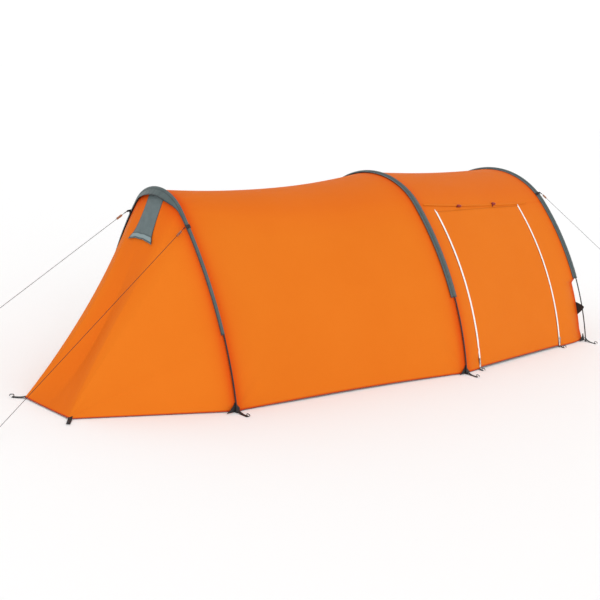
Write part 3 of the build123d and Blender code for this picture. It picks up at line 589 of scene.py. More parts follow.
def sleeve_piece(name, hoop, end_z, fore_skirt, rear_cap):
    """A sleeve: the cross section is a raised cosine over the pole between two flat skirts, carried
    along the hoop between the two heights. The rear skirt is wider by rear_cap over the hoop's top,
    as a bell of the fourth power, and both skirts are gathered a little all along."""
    start = float(side_angle(hoop, 0.0, 0.0))
    cut = (float(side_angle(hoop, end_z, 0.0)) - start) / (math.radians(hoop["shoulder"]) - start)
    u = np.linspace(cut, 3 - cut, SLEEVE_ROWS)
    line, out = hoop_points(hoop, u, 0.0, 0.0)
    lean = math.radians(hoop["lean"])
    along = np.array([math.cos(lean), 0, math.sin(lean)])
    run = length_along(line)
    share = np.linspace(-1, 1, SLEEVE_COLUMNS)
    aft_skirt = fore_skirt + rear_cap * np.exp(-(((u - 1.5) / 0.42) ** 4))
    a = np.where(share[None, :] < 0, share[None, :] * aft_skirt[:, None], share[None, :] * fore_skirt)
    bulge = 0.5 * (1 + np.cos(np.pi * np.clip(a / BULGE_HALF, -1, 1)))
    b = -SKIRT_LEVEL + BULGE_RISE * bulge**0.6
    loose = np.clip(np.abs(a) / BULGE_HALF - 1, 0, 1)
    gather = np.sin(run[:, None] * 190 + np.sin(run[:, None] * 37) * 2.2) * GATHER_HEIGHT
    b = b + loose * gather
    if hoop["lean"]:
        drop = np.clip(-a / BULGE_HALF - 1, 0, None) * BULGE_HALF
        b = b - drop * CAP_SLOPE
    points = line[:, None, :] + a[..., None] * along + b[..., None] * out[:, None, :]
    uv = np.stack([np.broadcast_to(run[:, None], a.shape), a], -1)
    rim = np.exp(-(((1 - np.abs(share[None, :])) / RIM_SHARE) ** 2))
    stitch = np.exp(-(((np.abs(a) - BULGE_HALF) / STITCH_WIDE) ** 2)) * 0.7
    cuff = np.exp(-((np.minimum(run, run[-1] - run) / CUFF_WIDE) ** 2))[:, None]
    shade = np.clip(rim + stitch + cuff * 0.9, 0, 1)
    piece = sheet_mesh(name, points, uv, shade=shade, outward=out[:, None, :])
    give_thickness(piece, SLEEVE_CLOTH)
    settle(piece, sleeve_cloth, "tent")
    return piece


sleeve_cloth = sleeve_material()
HOOPS = (("rear", REAR), ("middle", MIDDLE), ("front", FRONT))
for hoop_name, hoop in HOOPS:
    widths = (REAR_SKIRT, REAR_CAP) if hoop is REAR else (SKIRT, 0.0)
    piece = sleeve_piece(hoop_name + "_sleeve_cloth", hoop, SLEEVE_ENDS[hoop_name], *widths)
    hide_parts(hoop_name + "_sleeve")

# ----------------------------------------
# Canopy cloth: coated orange polyester, cut in wide panels and sewn edge to edge. It is stretched
# between the hoops, so it runs hollow between them, and it puckers where it is sewn to the sleeves.
# ----------------------------------------
CLOTH = 0.0011
RIPSTOP = 0.006
HEM = 0.004
SKIN = 0.0068
REAR_SKIN = 0.0074
LONG_SAG = (0.016, 0.048)
SHORT_SAG = (0.010, 0.016)
SIDE_ZIPS = (FRONT_X - 1.348, FRONT_X - 0.348)
SIDE_DOOR_TOP = 0.905
ZIP_HALF = 0.0052
NEAR_ROWS = 72
ROOF_ROWS = 84
SEAM_FADE = 0.006
# depth and width of the painted shade beside a hoop
HOOP_SHADE = ((0.55, 0.042), (0.20, 0.10))
HEM_SHADE = 0.7
PLEAT_HEIGHT = 0.0011
PLEAT_REACH = 0.060
FAN_HEIGHT = 0.0042
FAN_REACH = 0.20
FAN_START = 0.06
SLOW_HEIGHT = 0.0009
FULL_TURN = 6.28
SEAM_ALLOWANCE = 1.02


def canopy_material():
    """Orange ripstop: a fine weave with a heavier thread every few millimetres, a soft sheen, gentle
    changes of tone over the panels, and a painted shade of deeper red where the shade attribute
    marks it: at seams and hems for light that goes through two layers, beside the hoops for the
    sleeves' shade, and along the roof's crest, which is turned away from the light."""
    material, tree, shader = node_material("canopy_cloth", (0.72, 0.165, 0.012), 0.6)
    weave_bump(tree, shader, 0.0008, 0.35, 5.0)
    wide = noise(tree, 1.6, 4.0, Roughness=0.6)
    panel = mix_colour(tree, wide, (0.665, 0.149, 0.009), (0.710, 0.176, 0.013))
    threads = [map_range(tree, rib(tree, RIPSTOP, axis), 0.94, 1.0) for axis in ("X", "Y")]
    faint = combine(tree, "MULTIPLY", combine(tree, "MAXIMUM", *threads), 0.10)
    ripstop = mix_colour(tree, faint, panel, (0.48, 0.07, 0.005))
    # the deep red of the painted shade, mixed in where the shade attribute marks it
    paint(tree, shader, shade_mark(tree), ripstop, (0.62, 0.040, 0.003))
    shader.inputs["Sheen Weight"].default_value = 0.03
    shader.inputs["Sheen Tint"].default_value = (1.0, 0.30, 0.05, 1)
    shader.inputs["Specular IOR Level"].default_value = 0.03
    return material


canopy_cloth = canopy_material()


def near(value, centre, width):
    """A bell that is 1 at centre and fades over width."""
    return np.exp(-(((value - centre) / width) ** 2))


def roof_shade_share(u):
    """1 along the middle of the roof, and 0 below its upper part: where the roof gets its painted shade."""
    return np.clip((0.62 - np.abs(u - 1.5)) / 0.24, 0, 1)


def cloth_relief(x, run, far_run, span, seed):
    """How far the cloth stands off its smooth surface: pleats across the hoops that die out within a
    hand's width, folds that fan out from both feet, and a slow unevenness over the whole panel."""
    start, end = span
    dice = np.random.default_rng(seed)
    relief = np.zeros(np.broadcast(x, run).shape)
    for edge in (start, end):
        reach = np.abs(x - edge)
        phase = dice.uniform(0, FULL_TURN, 3)
        pleat = np.sin(run * 88 + phase[0]) + 0.7 * np.sin(run * 143 + phase[1] + 1.5 * np.sin(run * 9))
        relief += PLEAT_HEIGHT * pleat * np.exp(-reach / PLEAT_REACH)
        for along in (run, far_run):
            r = np.hypot(reach, along) + 1e-6
            fan = np.sin(np.arctan2(along, reach) * 11 + phase[2])
            relief += FAN_HEIGHT * np.exp(-r / FAN_REACH) * fan * np.clip(r / FAN_START, 0, 1)
    for _ in range(7):
        kx, ks = dice.uniform(1.5, 7.0, 2)
        phase = dice.uniform(0, FULL_TURN, 2)
        wander = np.sin(kx * x + phase[0] + np.sin(ks * run * 0.7))
        relief += SLOW_HEIGHT * wander * np.sin(ks * run + phase[1])
    reach = np.minimum(x - start, end - x)
    return relief * np.clip((reach - SKIRT) / 0.025, 0, 1) - SLOW_HEIGHT * np.clip(reach / 0.010, 0, 1)


def canopy_rows(low, high):
    """The u values of the canopy's rows, near side, roof and far side, evenly within each."""
    near_side = np.linspace(low, 1, NEAR_ROWS + 1)[:-1]
    roof = np.linspace(1, 2, ROOF_ROWS + 1)[:-1]
    return np.concatenate([near_side, roof, np.linspace(2, high, NEAR_ROWS + 1)])


def bay_surface(a, b, sag, skins, shares, u, relief_seed, hem_lift=0.0, seam=0.0):
    """The cloth between two hoops: at each share t its cross section is the hoop line that lies
    between them, and every point is moved along its outward direction by the cloth's relief. The
    shade is painted shade: a sum of bells at the hoops and hems, a band along the roof's crest, and
    bells at the shoulder seams as seam says; the hem rises by hem_lift halfway between the hoops."""
    t = np.asarray(shares)[:, None]
    arch = between_hoops(a, b, t, *sag)
    skin = skins[0] + (skins[1] - skins[0]) * t
    hem = HEM + hem_lift * 4 * t * (1 - t)
    points, out = hoop_points(arch, u, skin, hem)
    points = np.stack(np.broadcast_arrays(points[..., 0], points[..., 1], points[..., 2]), -1)
    run = length_along(points.transpose(1, 0, 2)).T
    far_run = run[:, -1:] - run
    x_run = a["x"] + (b["x"] - a["x"]) * t
    relief = cloth_relief(np.broadcast_to(x_run, run.shape), run, far_run, (a["x"], b["x"]), relief_seed)
    points = points + out * relief[..., None]
    # painted shade beside the hoops, along the hems and the roof's crest, and at the shoulder seams
    shade = sum(depth * near(x_run, hoop["x"], width) for depth, width in HOOP_SHADE for hoop in (a, b))
    shade = shade + HEM_SHADE * near(run, 0, SEAM_FADE) + HEM_SHADE * near(far_run, 0, SEAM_FADE)
    shade = shade + 0.16 * roof_shade_share(u)
    shade = shade + seam * (near(u, 1, SEAM_FADE) + near(u, 2, SEAM_FADE))
    uv = np.stack([np.broadcast_to(x_run, run.shape), run], -1)
    return points, out, uv, np.clip(shade, 0, 1), run


def finish_cloth(
    piece, material, body, slot, flat, area, rests_on, edges=(), replaced=(), held="stretched",
    thickness=CLOTH,
):
    """Closes a cloth, dresses it, sets it on its body and hides the CAD nodes that it replaces."""
    give_thickness(piece, thickness)
    settle(piece, material, body)
    if replaced:
        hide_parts(*replaced)


def sheet_area(piece, digits=2):
    """The area of a sheet's one face in square metres, rounded."""
    return round(sum(p.area for p in piece.data.polygons), digits)


def cut_size(points):
    """Width and length of the rectangle that a grid of cloth is cut from, with its seams."""
    wide = max(float(length_along(points)[-1].max()), 0.02)
    tall = max(float(length_along(points.transpose(1, 0, 2))[-1].max()), 0.02)
    return round(wide * SEAM_ALLOWANCE, 3), round(tall * SEAM_ALLOWANCE, 3)


# ----------------------------------------
# Hem binding: a dark red tape folded over the cloth's lower edges and sewn through. It stiffens the
# hems between the pegs, and it moves with the cloth that it edges.
# ----------------------------------------
BINDING_WIDE = 0.0046
BINDING_THICK = 0.0022


def binding_material():
    """Woven tape in deep red with a fine rib across it."""
    material, tree, shader = node_material("hem_tape", (0.23, 0.022, 0.006), 0.7)
    ribs = rib(tree, 0.0016)
    paint(tree, shader, ribs, (0.26, 0.016, 0.004), (0.42, 0.034, 0.008))
    raise_surface(tree, shader, ribs, 0.5, 0.0003)
    return material


hem_tape = binding_material()


def bind_edge(name, edge, inside, out, body):
    """An oval tape round a cloth edge: inside is the next line of the cloth, away from the edge."""
    up = unit(inside - edge)
    path = edge + up * (BINDING_WIDE * 0.38) - out * (CLOTH / 2)
    oval = ring(BINDING_WIDE / 2, 10, BINDING_THICK / BINDING_WIDE)
    piece = solid_along(name, path, up, out, oval)
    return settle(piece, hem_tape, body)


def side_hems(name, points, out, inner=1):
    """The tapes on a cloth's near and far edges; inner counts the columns in from each edge to the
    line that shows which way the cloth lies."""
    out = np.broadcast_to(out, points.shape)
    return [
        bind_edge(name + "_near_hem", points[:, 0], points[:, inner], out[:, 0], "tent"),
        bind_edge(name + "_far_hem", points[:, -1], points[:, -1 - inner], out[:, -1], "tent"),
    ]


# ----------------------------------------
# Canopy panels in place: the long bay over the inner tent, the short bay over the porch with the
# doorway left open in its near side, and the tail with a hole for the vent.
# ----------------------------------------
LONG_SEED, SHORT_SEED = 11, 23
long_shares = np.linspace(0, 1, 141)
long_u = canopy_rows(0, 3)[None, :]
points, out, uv, shade, _ = bay_surface(
    REAR, MIDDLE, LONG_SAG, (REAR_SKIN, SKIN), long_shares, long_u, LONG_SEED, 0.006
)
long_bay = sheet_mesh("long_bay_cloth", points, uv, shade=shade, outward=out)
hems = side_hems("long_bay", points, out)
finish_cloth(
    long_bay, canopy_cloth, "tent", "canopy", cut_size(points), sheet_area(long_bay),
    ["rear_pole_rods", "middle_pole_rods"], hems,
    ("long_bay_near_side", "long_bay_roof", "long_bay_far_side"),
)


def short_shares(x):
    """The share of the short bay at which x lies."""
    return (np.asarray(x) - MIDDLE["x"]) / (FRONT["x"] - MIDDLE["x"])


def short_arch(t):
    """The short bay's arch at share t."""
    return between_hoops(MIDDLE, FRONT, t, *SHORT_SAG)


def height_row(t, z):
    """The u of the near side at height z, at shares t of the short bay."""
    arch = short_arch(t)
    start = side_angle(arch, HEM, SKIN)
    return (side_angle(arch, z, SKIN) - start) / (np.radians(arch["shoulder"]) - start)


def short_bay_u(t, low_z):
    """Rows of the short bay from height low_z: up to the door's top, over it, roof and far side."""
    low_u = height_row(t, low_z)[:, None]
    top = height_row(t, SIDE_DOOR_TOP)[:, None]
    low = low_u + (top - low_u) * np.linspace(0, 1, NEAR_ROWS + 1)[None, :-1]
    head = top + (1 - top) * np.linspace(0, 1, 7)[None, :-1]
    rest = np.broadcast_to(canopy_rows(0, 3)[NEAR_ROWS:], (len(t), ROOF_ROWS + NEAR_ROWS + 1))
    return np.concatenate([low, head, rest], axis=1)


# The front edge is fixed only at the sleeve's end, the clip and the foot, so it runs inside the pole.
CORNER_PULL = 0.033


def corner_pull(z):
    """How far the front edge lies inside the pole at height z: it ramps up below the sleeve's end and
    eases again toward the foot."""
    ramp = np.clip((SLEEVE_ENDS["front"] - z) / 0.035, 0, 1)
    return CORNER_PULL * ramp * (1 - 0.45 * np.clip((0.08 - z) / 0.08, 0, 1))


door_span = short_shares((SIDE_ZIPS[0] + ZIP_HALF, SIDE_ZIPS[1] - ZIP_HALF))
wall_span = short_shares((SIDE_ZIPS[0] - ZIP_HALF, SIDE_ZIPS[1] + ZIP_HALF))
REAR_STRIP, DOORWAY, FRONT_STRIP = 16, 90, 32
AHEAD_OF_DOOR = REAR_STRIP + DOORWAY
columns = np.concatenate(
    [
        np.linspace(0, wall_span[0], REAR_STRIP + 1),
        np.linspace(wall_span[0], wall_span[1], DOORWAY + 1)[1:],
        np.linspace(wall_span[1], 1, FRONT_STRIP + 1)[1:],
    ]
)
points, out, uv, shade, run = bay_surface(
    MIDDLE, FRONT, SHORT_SAG, (SKIN, SKIN), columns, short_bay_u(columns, HEM), SHORT_SEED, 0.004, 0.12
)
edge_share = np.exp(-(((FRONT["x"] - uv[..., 0]) / 0.11) ** 2))
pull = corner_pull(points[..., 2]) * edge_share
points = points - np.stack([0.25 * pull, np.sign(points[..., 1]) * pull, 0 * pull], -1)
zip_edges = (SIDE_ZIPS[0] - ZIP_HALF, SIDE_ZIPS[1] + ZIP_HALF)
# painted shade along the seams beside the zips, below the door's top
by_zip = near(uv[..., 0], zip_edges[0], SEAM_FADE) + near(uv[..., 0], zip_edges[1], SEAM_FADE)
shade = np.clip(shade + HEM_SHADE * by_zip * (run < run[:, NEAR_ROWS : NEAR_ROWS + 1]), 0, 1)
keep = np.ones((len(columns) - 1, points.shape[1] - 1), bool)
keep[REAR_STRIP:AHEAD_OF_DOOR, :NEAR_ROWS] = False
short_bay = sheet_mesh("short_bay_cloth", points, uv, keep=keep, shade=shade, outward=out)
near_hem = (points[:, 0], points[:, 1], out[:, 0])
hems = [
    bind_edge("short_bay_rear_hem", *(a[: REAR_STRIP + 1] for a in near_hem), "tent"),
    bind_edge("short_bay_front_hem", *(a[AHEAD_OF_DOOR:] for a in near_hem), "tent"),
    bind_edge("short_bay_far_hem", points[:, -1], points[:, -2], out[:, -1], "tent"),
]
finish_cloth(
    short_bay, canopy_cloth, "tent", "canopy", cut_size(points), sheet_area(short_bay),
    ["middle_pole_rods", "front_pole_rods"], hems,
    (
        "short_bay_roof", "short_bay_far_side", "side_wall_rear_strip", "side_wall_front_strip",
        "side_door_header",
    ),
)

TAIL_HALF = 0.173
TAIL_START = 0.006
TAIL_SAG = 0.140
GORE_SAG = 0.045
TAIL_RAY_HEIGHT = 0.0035
VENT_U = 0.054
VENT_SPAN = (0.835, 0.925)


def tail_surface(s, u, lift=0.0):
    """The tail at shares s of the way from its ground edge to the rear hoop: straight lines from a
    point of the edge to a point of the hoop, drawn in against the hoop's outward direction by a sag
    that is greatest halfway and along the middle, and raised by lift."""
    hoop_side, out = hoop_points(REAR, u, REAR_SKIN, HEM)
    edge_y = np.clip((u - 1.5) / 0.5, -1, 1) * TAIL_HALF
    edge = np.stack([np.full_like(edge_y, TAIL_X), edge_y, np.full_like(edge_y, HEM)], -1)
    middle = np.clip(1 - ((u - 1.5) / 0.62) ** 2, 0, 1)
    sag = GORE_SAG * np.clip(np.minimum(u, 3 - u) / 0.3, 0, 1) + (TAIL_SAG - GORE_SAG) * middle
    line = edge + (hoop_side - edge) * s[..., None]
    return line + out * (lift - sag * 4 * s * (1 - s))[..., None], out


s_grid, u_grid = np.broadcast_arrays(np.linspace(TAIL_START, 1, 101)[:, None], canopy_rows(0, 3)[None, :])
points, out = tail_surface(s_grid, u_grid)
run = length_along(points.transpose(1, 0, 2)).T
tail_run = length_along(points)
dice = np.random.default_rng(5)
relief = np.zeros(run.shape)
for shoulder_u in (1.0, 2.0):
    spread = (u_grid - shoulder_u) / 0.5
    ray = np.sin(spread * 9 + 1) * near(spread, 0, 0.9)
    relief += TAIL_RAY_HEIGHT * ray * (1 - s_grid) ** 0.5 * s_grid**0.3
for _ in range(6):
    k_s, k_u = dice.uniform(3, 10), dice.uniform(2, 8)
    phase = dice.uniform(0, FULL_TURN, 2)
    relief += 0.0010 * np.sin(k_s * s_grid + phase[0]) * np.sin(k_u * u_grid + phase[1]) * np.sqrt(s_grid)
pucker = np.sin(run * 92) + 0.6 * np.sin(run * 151 + 2)
relief += 0.0008 * pucker * np.exp(-(1 - s_grid) / 0.03) * (1 - np.exp(-(1 - s_grid) / 0.01))
edge_fade = np.clip((1 - s_grid) / 0.03, 0, 1) * np.clip(np.minimum(u_grid, 3 - u_grid) / 0.05, 0, 1)
points = points + out * (relief * edge_fade * np.clip((s_grid - TAIL_START) / 0.05, 0, 1))[..., None]
# painted shade beside the rear hoop, along the edges and down the middle gore
shade = 0.50 * near(s_grid, 1, 0.034) + 0.2 * near(s_grid, 1, 0.08) + HEM_SHADE * near(run, 0, SEAM_FADE)
for edge_run in (run[:, -1:] - run, tail_run):
    shade = shade + HEM_SHADE * near(edge_run, 0, SEAM_FADE)
shade = shade + 0.18 * roof_shade_share(u_grid)
keep = ~((np.abs(u_grid - 1.5) < VENT_U) & (s_grid > VENT_SPAN[0]) & (s_grid < VENT_SPAN[1]))[:-1, :-1]
uv = np.stack([tail_run, run], -1)
tail = sheet_mesh("tail_cloth", points, uv, keep=keep, shade=np.clip(shade, 0, 1), outward=out)
edge_columns = slice(NEAR_ROWS, NEAR_ROWS + ROOF_ROWS + 1)
end_hem = (a[edge_columns] for a in (points[0], points[1], out[0]))
hems = side_hems("tail", points, out, inner=2) + [bind_edge("tail_end_hem", *end_hem, "tent")]
finish_cloth(
    tail, canopy_cloth, "tent", "canopy", cut_size(points), sheet_area(tail),
    ["rear_pole_rods"], hems, ("tail_near_gore", "tail_far_gore", "tail_centre_gore"),
)

# ----------------------------------------
# Vent: black insect net sewn behind the hole in the tail, under a hood of grey sleeve cloth. The
# hood's lip is a wired double hem that holds it open.
# ----------------------------------------
NET_MARGIN = 0.012
HOOD_TOP = 0.98392
HOOD_DROP = 0.160
HOOD_CLOTH = 0.0012
LIP_SEAM = 0.86
# half width and lift: at the top seam, what p and its square add, and what the lip adds
HOOD_HALF = (0.060, 0.010, 0.038, 0.010)
HOOD_LIFT = (0.0040, 0.0040, 0.0070, 0.005)


def net_material():
    """Fine black net: dark threads on a grid with darker gaps between them."""
    material, tree, shader = node_material("vent_net", (0.012, 0.013, 0.014), 0.8)
    grid = combine(tree, "MAXIMUM", rib(tree, 0.0018, "X"), rib(tree, 0.0018, "Y"))
    paint(tree, shader, grid, (0.003, 0.003, 0.003), (0.030, 0.031, 0.033))
    raise_surface(tree, shader, grid, 0.8, 0.0005)
    return material


vent_net = net_material()
s_net, u_net = np.broadcast_arrays(
    np.linspace(VENT_SPAN[0] - NET_MARGIN, VENT_SPAN[1] + NET_MARGIN, 31)[:, None],
    np.linspace(1.5 - VENT_U - 0.018, 1.5 + VENT_U + 0.018, 25)[None, :],
)
points, out = tail_surface(s_net, u_net, np.full(s_net.shape, -0.0024))
net = sheet_mesh("vent_net", points, cloth_map(points), outward=out)
finish_cloth(
    net, vent_net, "tent", "mesh", cut_size(points), None, ["tail_cloth"],
    replaced=("vent_mesh",), thickness=0.0006,
)


def hood_surface(p, q, raise_by=0.0):
    """The hood at p, 0 at its top seam to 1 at the lip, and q, -1 to 1 across: a point of the tail
    raised by a lift that grows with p, eased down a little along both side edges. It flares
    towards the lip, whose middle bows up a little."""
    share = HOOD_TOP - HOOD_DROP * (p + 0.02 * (q**2) * p**6)
    half = HOOD_HALF[0] + HOOD_HALF[1] * p + HOOD_HALF[2] * p**2 + HOOD_HALF[3] * near(p, 1, 0.12)
    lift = HOOD_LIFT[0] + HOOD_LIFT[1] * p + HOOD_LIFT[2] * p**2 + HOOD_LIFT[3] * near(p, 1, 0.16)
    lift = lift * (1 - 0.25 * q**6) + 0.0012 * np.sin(q * 9 + p * 4) * p
    lift = lift - 0.003 * near(p, LIP_SEAM, 0.06) * (1 - q**2)
    roof_r = hoop_arcs(REAR)[0]
    radius = roof_r * share + TAIL_HALF * (1 - share)
    spread = np.arcsin(np.clip(half * q / radius, -1, 1))
    u = 1.5 + spread / np.radians(180 - 2 * REAR["shoulder"])
    return tail_surface(share, u, lift + raise_by)


def hood_material():
    """The sleeves' grey cloth, lighter where the lip is doubled and dark along its edges."""
    material, tree, shader = node_material("hood_cloth", (0.105, 0.145, 0.148), 0.6)
    soft = weave_bump(tree, shader, 0.0007, 0.5, 30.0)
    lip = shade_mark(tree)
    body = mix_colour(tree, soft, (0.078, 0.108, 0.112), (0.118, 0.156, 0.160))
    lighter = mix_colour(tree, map_range(tree, lip, 0.0, -1.0), body, (0.20, 0.26, 0.27))
    paint(tree, shader, map_range(tree, lip, 0.0, 1.0), lighter, (0.012, 0.020, 0.024))
    return material


hood_cloth = hood_material()
p_grid, q_grid = grid(np.linspace(0, 1, 61), np.linspace(-1, 1, 49))
points, out = hood_surface(p_grid, q_grid)
band = -1.0 * (p_grid > LIP_SEAM)
line = near(p_grid, LIP_SEAM, 0.010) * 0.8 + near(np.abs(q_grid), 1, 0.05) + near(p_grid, 1, 0.018)
shade = np.clip(np.where(line > 0.25, line, band), -1, 1)
hood = sheet_mesh("vent_hood_cloth", points, cloth_map(points), shade=shade, outward=out)
hood_area = sheet_area(hood, 3)
lip_line = points[-1]
lip_wire = solid_along(
    "vent_hood_lip", lip_line - out[-1] * 0.0006, *tube_frame(lip_line, (0, 0, 1)), ring(0.0022, 10)
)
settle(lip_wire, hood_cloth, "vent_hood")
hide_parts("vent_hood_stiffener")
finish_cloth(
    hood, hood_cloth, "vent_hood", "sleeve", cut_size(points), hood_area,
    ["rear_sleeve_cloth"], [lip_wire], ("vent_hood",), held="hung", thickness=HOOD_CLOTH,
)

# ----------------------------------------
# Side door: one orange panel between two zips in the near side of the porch. It is sewn in along
# its top, under a folded strip that sheds rain off the seam.
# ----------------------------------------
DOOR_HEM = 0.014
door_columns = np.linspace(door_span[0], door_span[1], 91)
points, out, uv, _, run = bay_surface(
    MIDDLE, FRONT, SHORT_SAG, (SKIN, SKIN), door_columns, short_bay_u(door_columns, DOOR_HEM), SHORT_SEED
)
points, out, uv, run = (a[:, : NEAR_ROWS + 1] for a in (points, out, uv, run))
zip_edges = (SIDE_ZIPS[0] + ZIP_HALF, SIDE_ZIPS[1] - ZIP_HALF)
# painted shade along the hem and the seams beside the zips
by_zip = near(uv[..., 0], zip_edges[0], SEAM_FADE) + near(uv[..., 0], zip_edges[1], SEAM_FADE)
shade = np.clip(HEM_SHADE * near(run, 0, SEAM_FADE) + HEM_SHADE * by_zip, 0, 1)
points[..., 2] -= np.clip((points[..., 2] - (SIDE_DOOR_TOP - 0.0004)), 0, None)
side_door = sheet_mesh("side_door_cloth", points, uv, shade=shade, outward=out)
door_hem = bind_edge("side_door_hem", points[:, 0], points[:, 1], out[:, 0], "side_door")
door_flat = cut_size(points)

FOLD_COUNT = 121
FOLD_U = 0.999
FOLD_OVAL = 0.13
fold_shares = np.linspace(wall_span[0] - 0.062, wall_span[1] + 0.075, FOLD_COUNT)
arch = short_arch(fold_shares)
fold_path, fold_out = hoop_points(arch, np.full(FOLD_COUNT, FOLD_U), SKIN, HEM)
fold_up = unit(np.cross(np.gradient(fold_path, axis=0), fold_out))
fold_up *= np.sign(fold_up[:, 2:3])
flare = 0.0014 + 0.0010 * np.sin(np.linspace(0, 23, FOLD_COUNT)) ** 2
fold_down = unit(-fold_up + fold_out * 0.16)
fold_face = np.cross(fold_down, unit(np.gradient(fold_path, axis=0)))
fold_path = fold_path + fold_out * flare[:, None]
fold = solid_along("side_door_fold", fold_path, fold_down, fold_face, ring(0.0078, 12, FOLD_OVAL))
settle(fold, canopy_cloth, "tent")

# ----------------------------------------
# Side zips: white woven tapes sewn to the door and to the wall, each with half of a moulded coil
# along its edge. One half moves with the door.
# ----------------------------------------
TAPE_WIDE = 0.0078
TAPE_THICK = 0.0009
COIL_PITCH = 0.0027
COIL_BEAD = (0.0013, 0.0009, 0.0011)


def zip_material():
    """White woven polyester: a fine rib across the tape, and a darker, warmer tone over its lowest ten
    centimetres.
    """
    material, tree, shader = node_material("zip_tape", (0.80, 0.79, 0.76), 0.6)
    ribs = rib(tree, 0.0012)
    ribbed_white = mix_colour(tree, ribs, (0.86, 0.85, 0.81), (0.93, 0.92, 0.89))
    height = add_node(tree, "ShaderNodeSeparateXYZ", {0: place(tree, "Object")}).outputs["Z"]
    paint(tree, shader, map_range(tree, height, 0.10, 0.0), ribbed_white, (0.52, 0.47, 0.42))
    raise_surface(tree, shader, ribs, 0.4, 0.0002)
    return material


zip_tape = zip_material()
zip_coil = moulded_material("zip_coil", (0.80, 0.79, 0.75), 0.4)


def bead_row(name, path, across, out, size, shift, body):
    """A row of equal beads, one at each point of the path: a six-sided drum that ends in a cone
    above and below, with half sizes size along the across, path and out directions."""
    ahead = unit(np.gradient(path, axis=0))
    path, across, out = np.broadcast_arrays(path + ahead * shift, across, out)
    turn = np.linspace(0, 2 * np.pi, 6, endpoint=False)
    waist = np.stack([0.8 * np.cos(turn), np.sin(turn), 0 * turn + 0.25], -1)
    shape = np.vstack([waist, waist * [1, 1, -1], [[0, 0, 1]], [[0, 0, -1]]]) * [size[0], size[1], size[2]]
    axes = np.stack([across, ahead, out], 1)
    points = path[:, None] + np.einsum("kc,ncd->nkd", shape, axes)
    k = np.arange(6)
    after = (k + 1) % 6
    faces = [
        np.stack([k, after, 0 * k + 12], -1),
        np.stack([after + 6, k + 6, 0 * k + 13], -1),
        np.stack([k + 6, after + 6, after, k], -1),
    ]
    step = np.arange(len(path))[:, None, None] * 14
    faces = [(f[None] + step).reshape(-1, f.shape[1]) for f in faces]
    piece = closed_mesh(name, points.reshape(-1, 3), faces)
    return settle(piece, zip_coil, body)


def resample(line, run, at):
    """The values of a line of points at other running lengths, by interpolation."""
    return np.stack([np.interp(at, run, line[:, k]) for k in range(3)], -1)


def zip_half(name, path, across, out, body):
    """One side of a zip along a path: the tape, from the coil outward, and its row of coil beads."""
    profile = ring(1.0, 12) * [TAPE_WIDE / 2, TAPE_THICK / 2] + [TAPE_WIDE / 2 + 0.0006, 0.0003]
    tape = settle(solid_along(name + "_tape", path, across, out, profile), zip_tape, body)
    run = length_along(path)
    count = int(run[-1] / COIL_PITCH)
    at = np.linspace(0, run[-1], count)
    path, across, out = (resample(np.broadcast_to(line, path.shape), run, at) for line in (path, across, out))
    side = 0.25 * COIL_PITCH * (1 if body == "tent" else -1)
    coil = bead_row(name + "_coil", path + across * 0.0009 + out * 0.0005, across, out, COIL_BEAD, side, body)
    return [tape, coil]


def side_zip_line(x, top):
    """The line of a side zip, from the hem to height top, and its outward direction."""
    t = short_shares(x)
    arch = short_arch(t)
    u = np.linspace(height_row(t, DOOR_HEM), height_row(t, top), 161)
    return hoop_points(arch, u, SKIN, HEM)


fixed_halves = []
door_halves = []
for zip_name, x, side in (("side_zip_rear", SIDE_ZIPS[0], 1.0), ("side_zip_front", SIDE_ZIPS[1], -1.0)):
    toward_door = np.array([side, 0, 0])
    path, zip_out = side_zip_line(x, SIDE_DOOR_TOP - 0.001)
    door_halves += zip_half(zip_name + "_door", path, toward_door, zip_out, "side_door")
    path, zip_out = side_zip_line(x, SIDE_DOOR_TOP + 0.009)
    fixed_halves += zip_half(zip_name + "_wall", path, -toward_door, zip_out, "tent")
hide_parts("side_zip_fixed_tapes")
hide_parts("side_zip_door_tapes")
finish_cloth(
    side_door, canopy_cloth, "side_door", "canopy", door_flat, None,
    ["short_bay_cloth"], [door_hem, *door_halves], ("side_door",), held="hung",
)
zip_metal = metal_material("slider_metal", (0.42, 0.42, 0.44), 0.35, 120.0)
for node in ("side_zip_slider_rear", "side_zip_slider_front"):
    dress(node, zip_metal)

# ----------------------------------------
# Door toggles: two dark red turned toggles that hang on short elastic loops from the door's top
# seam, to tie the rolled-up door.
# ----------------------------------------
TOGGLE_X = (FRONT_X - 1.080, FRONT_X - 0.660)
TOGGLE_DROP = 0.026
TOGGLE_CLEAR = 0.016
TOGGLE_HALF = 0.0190


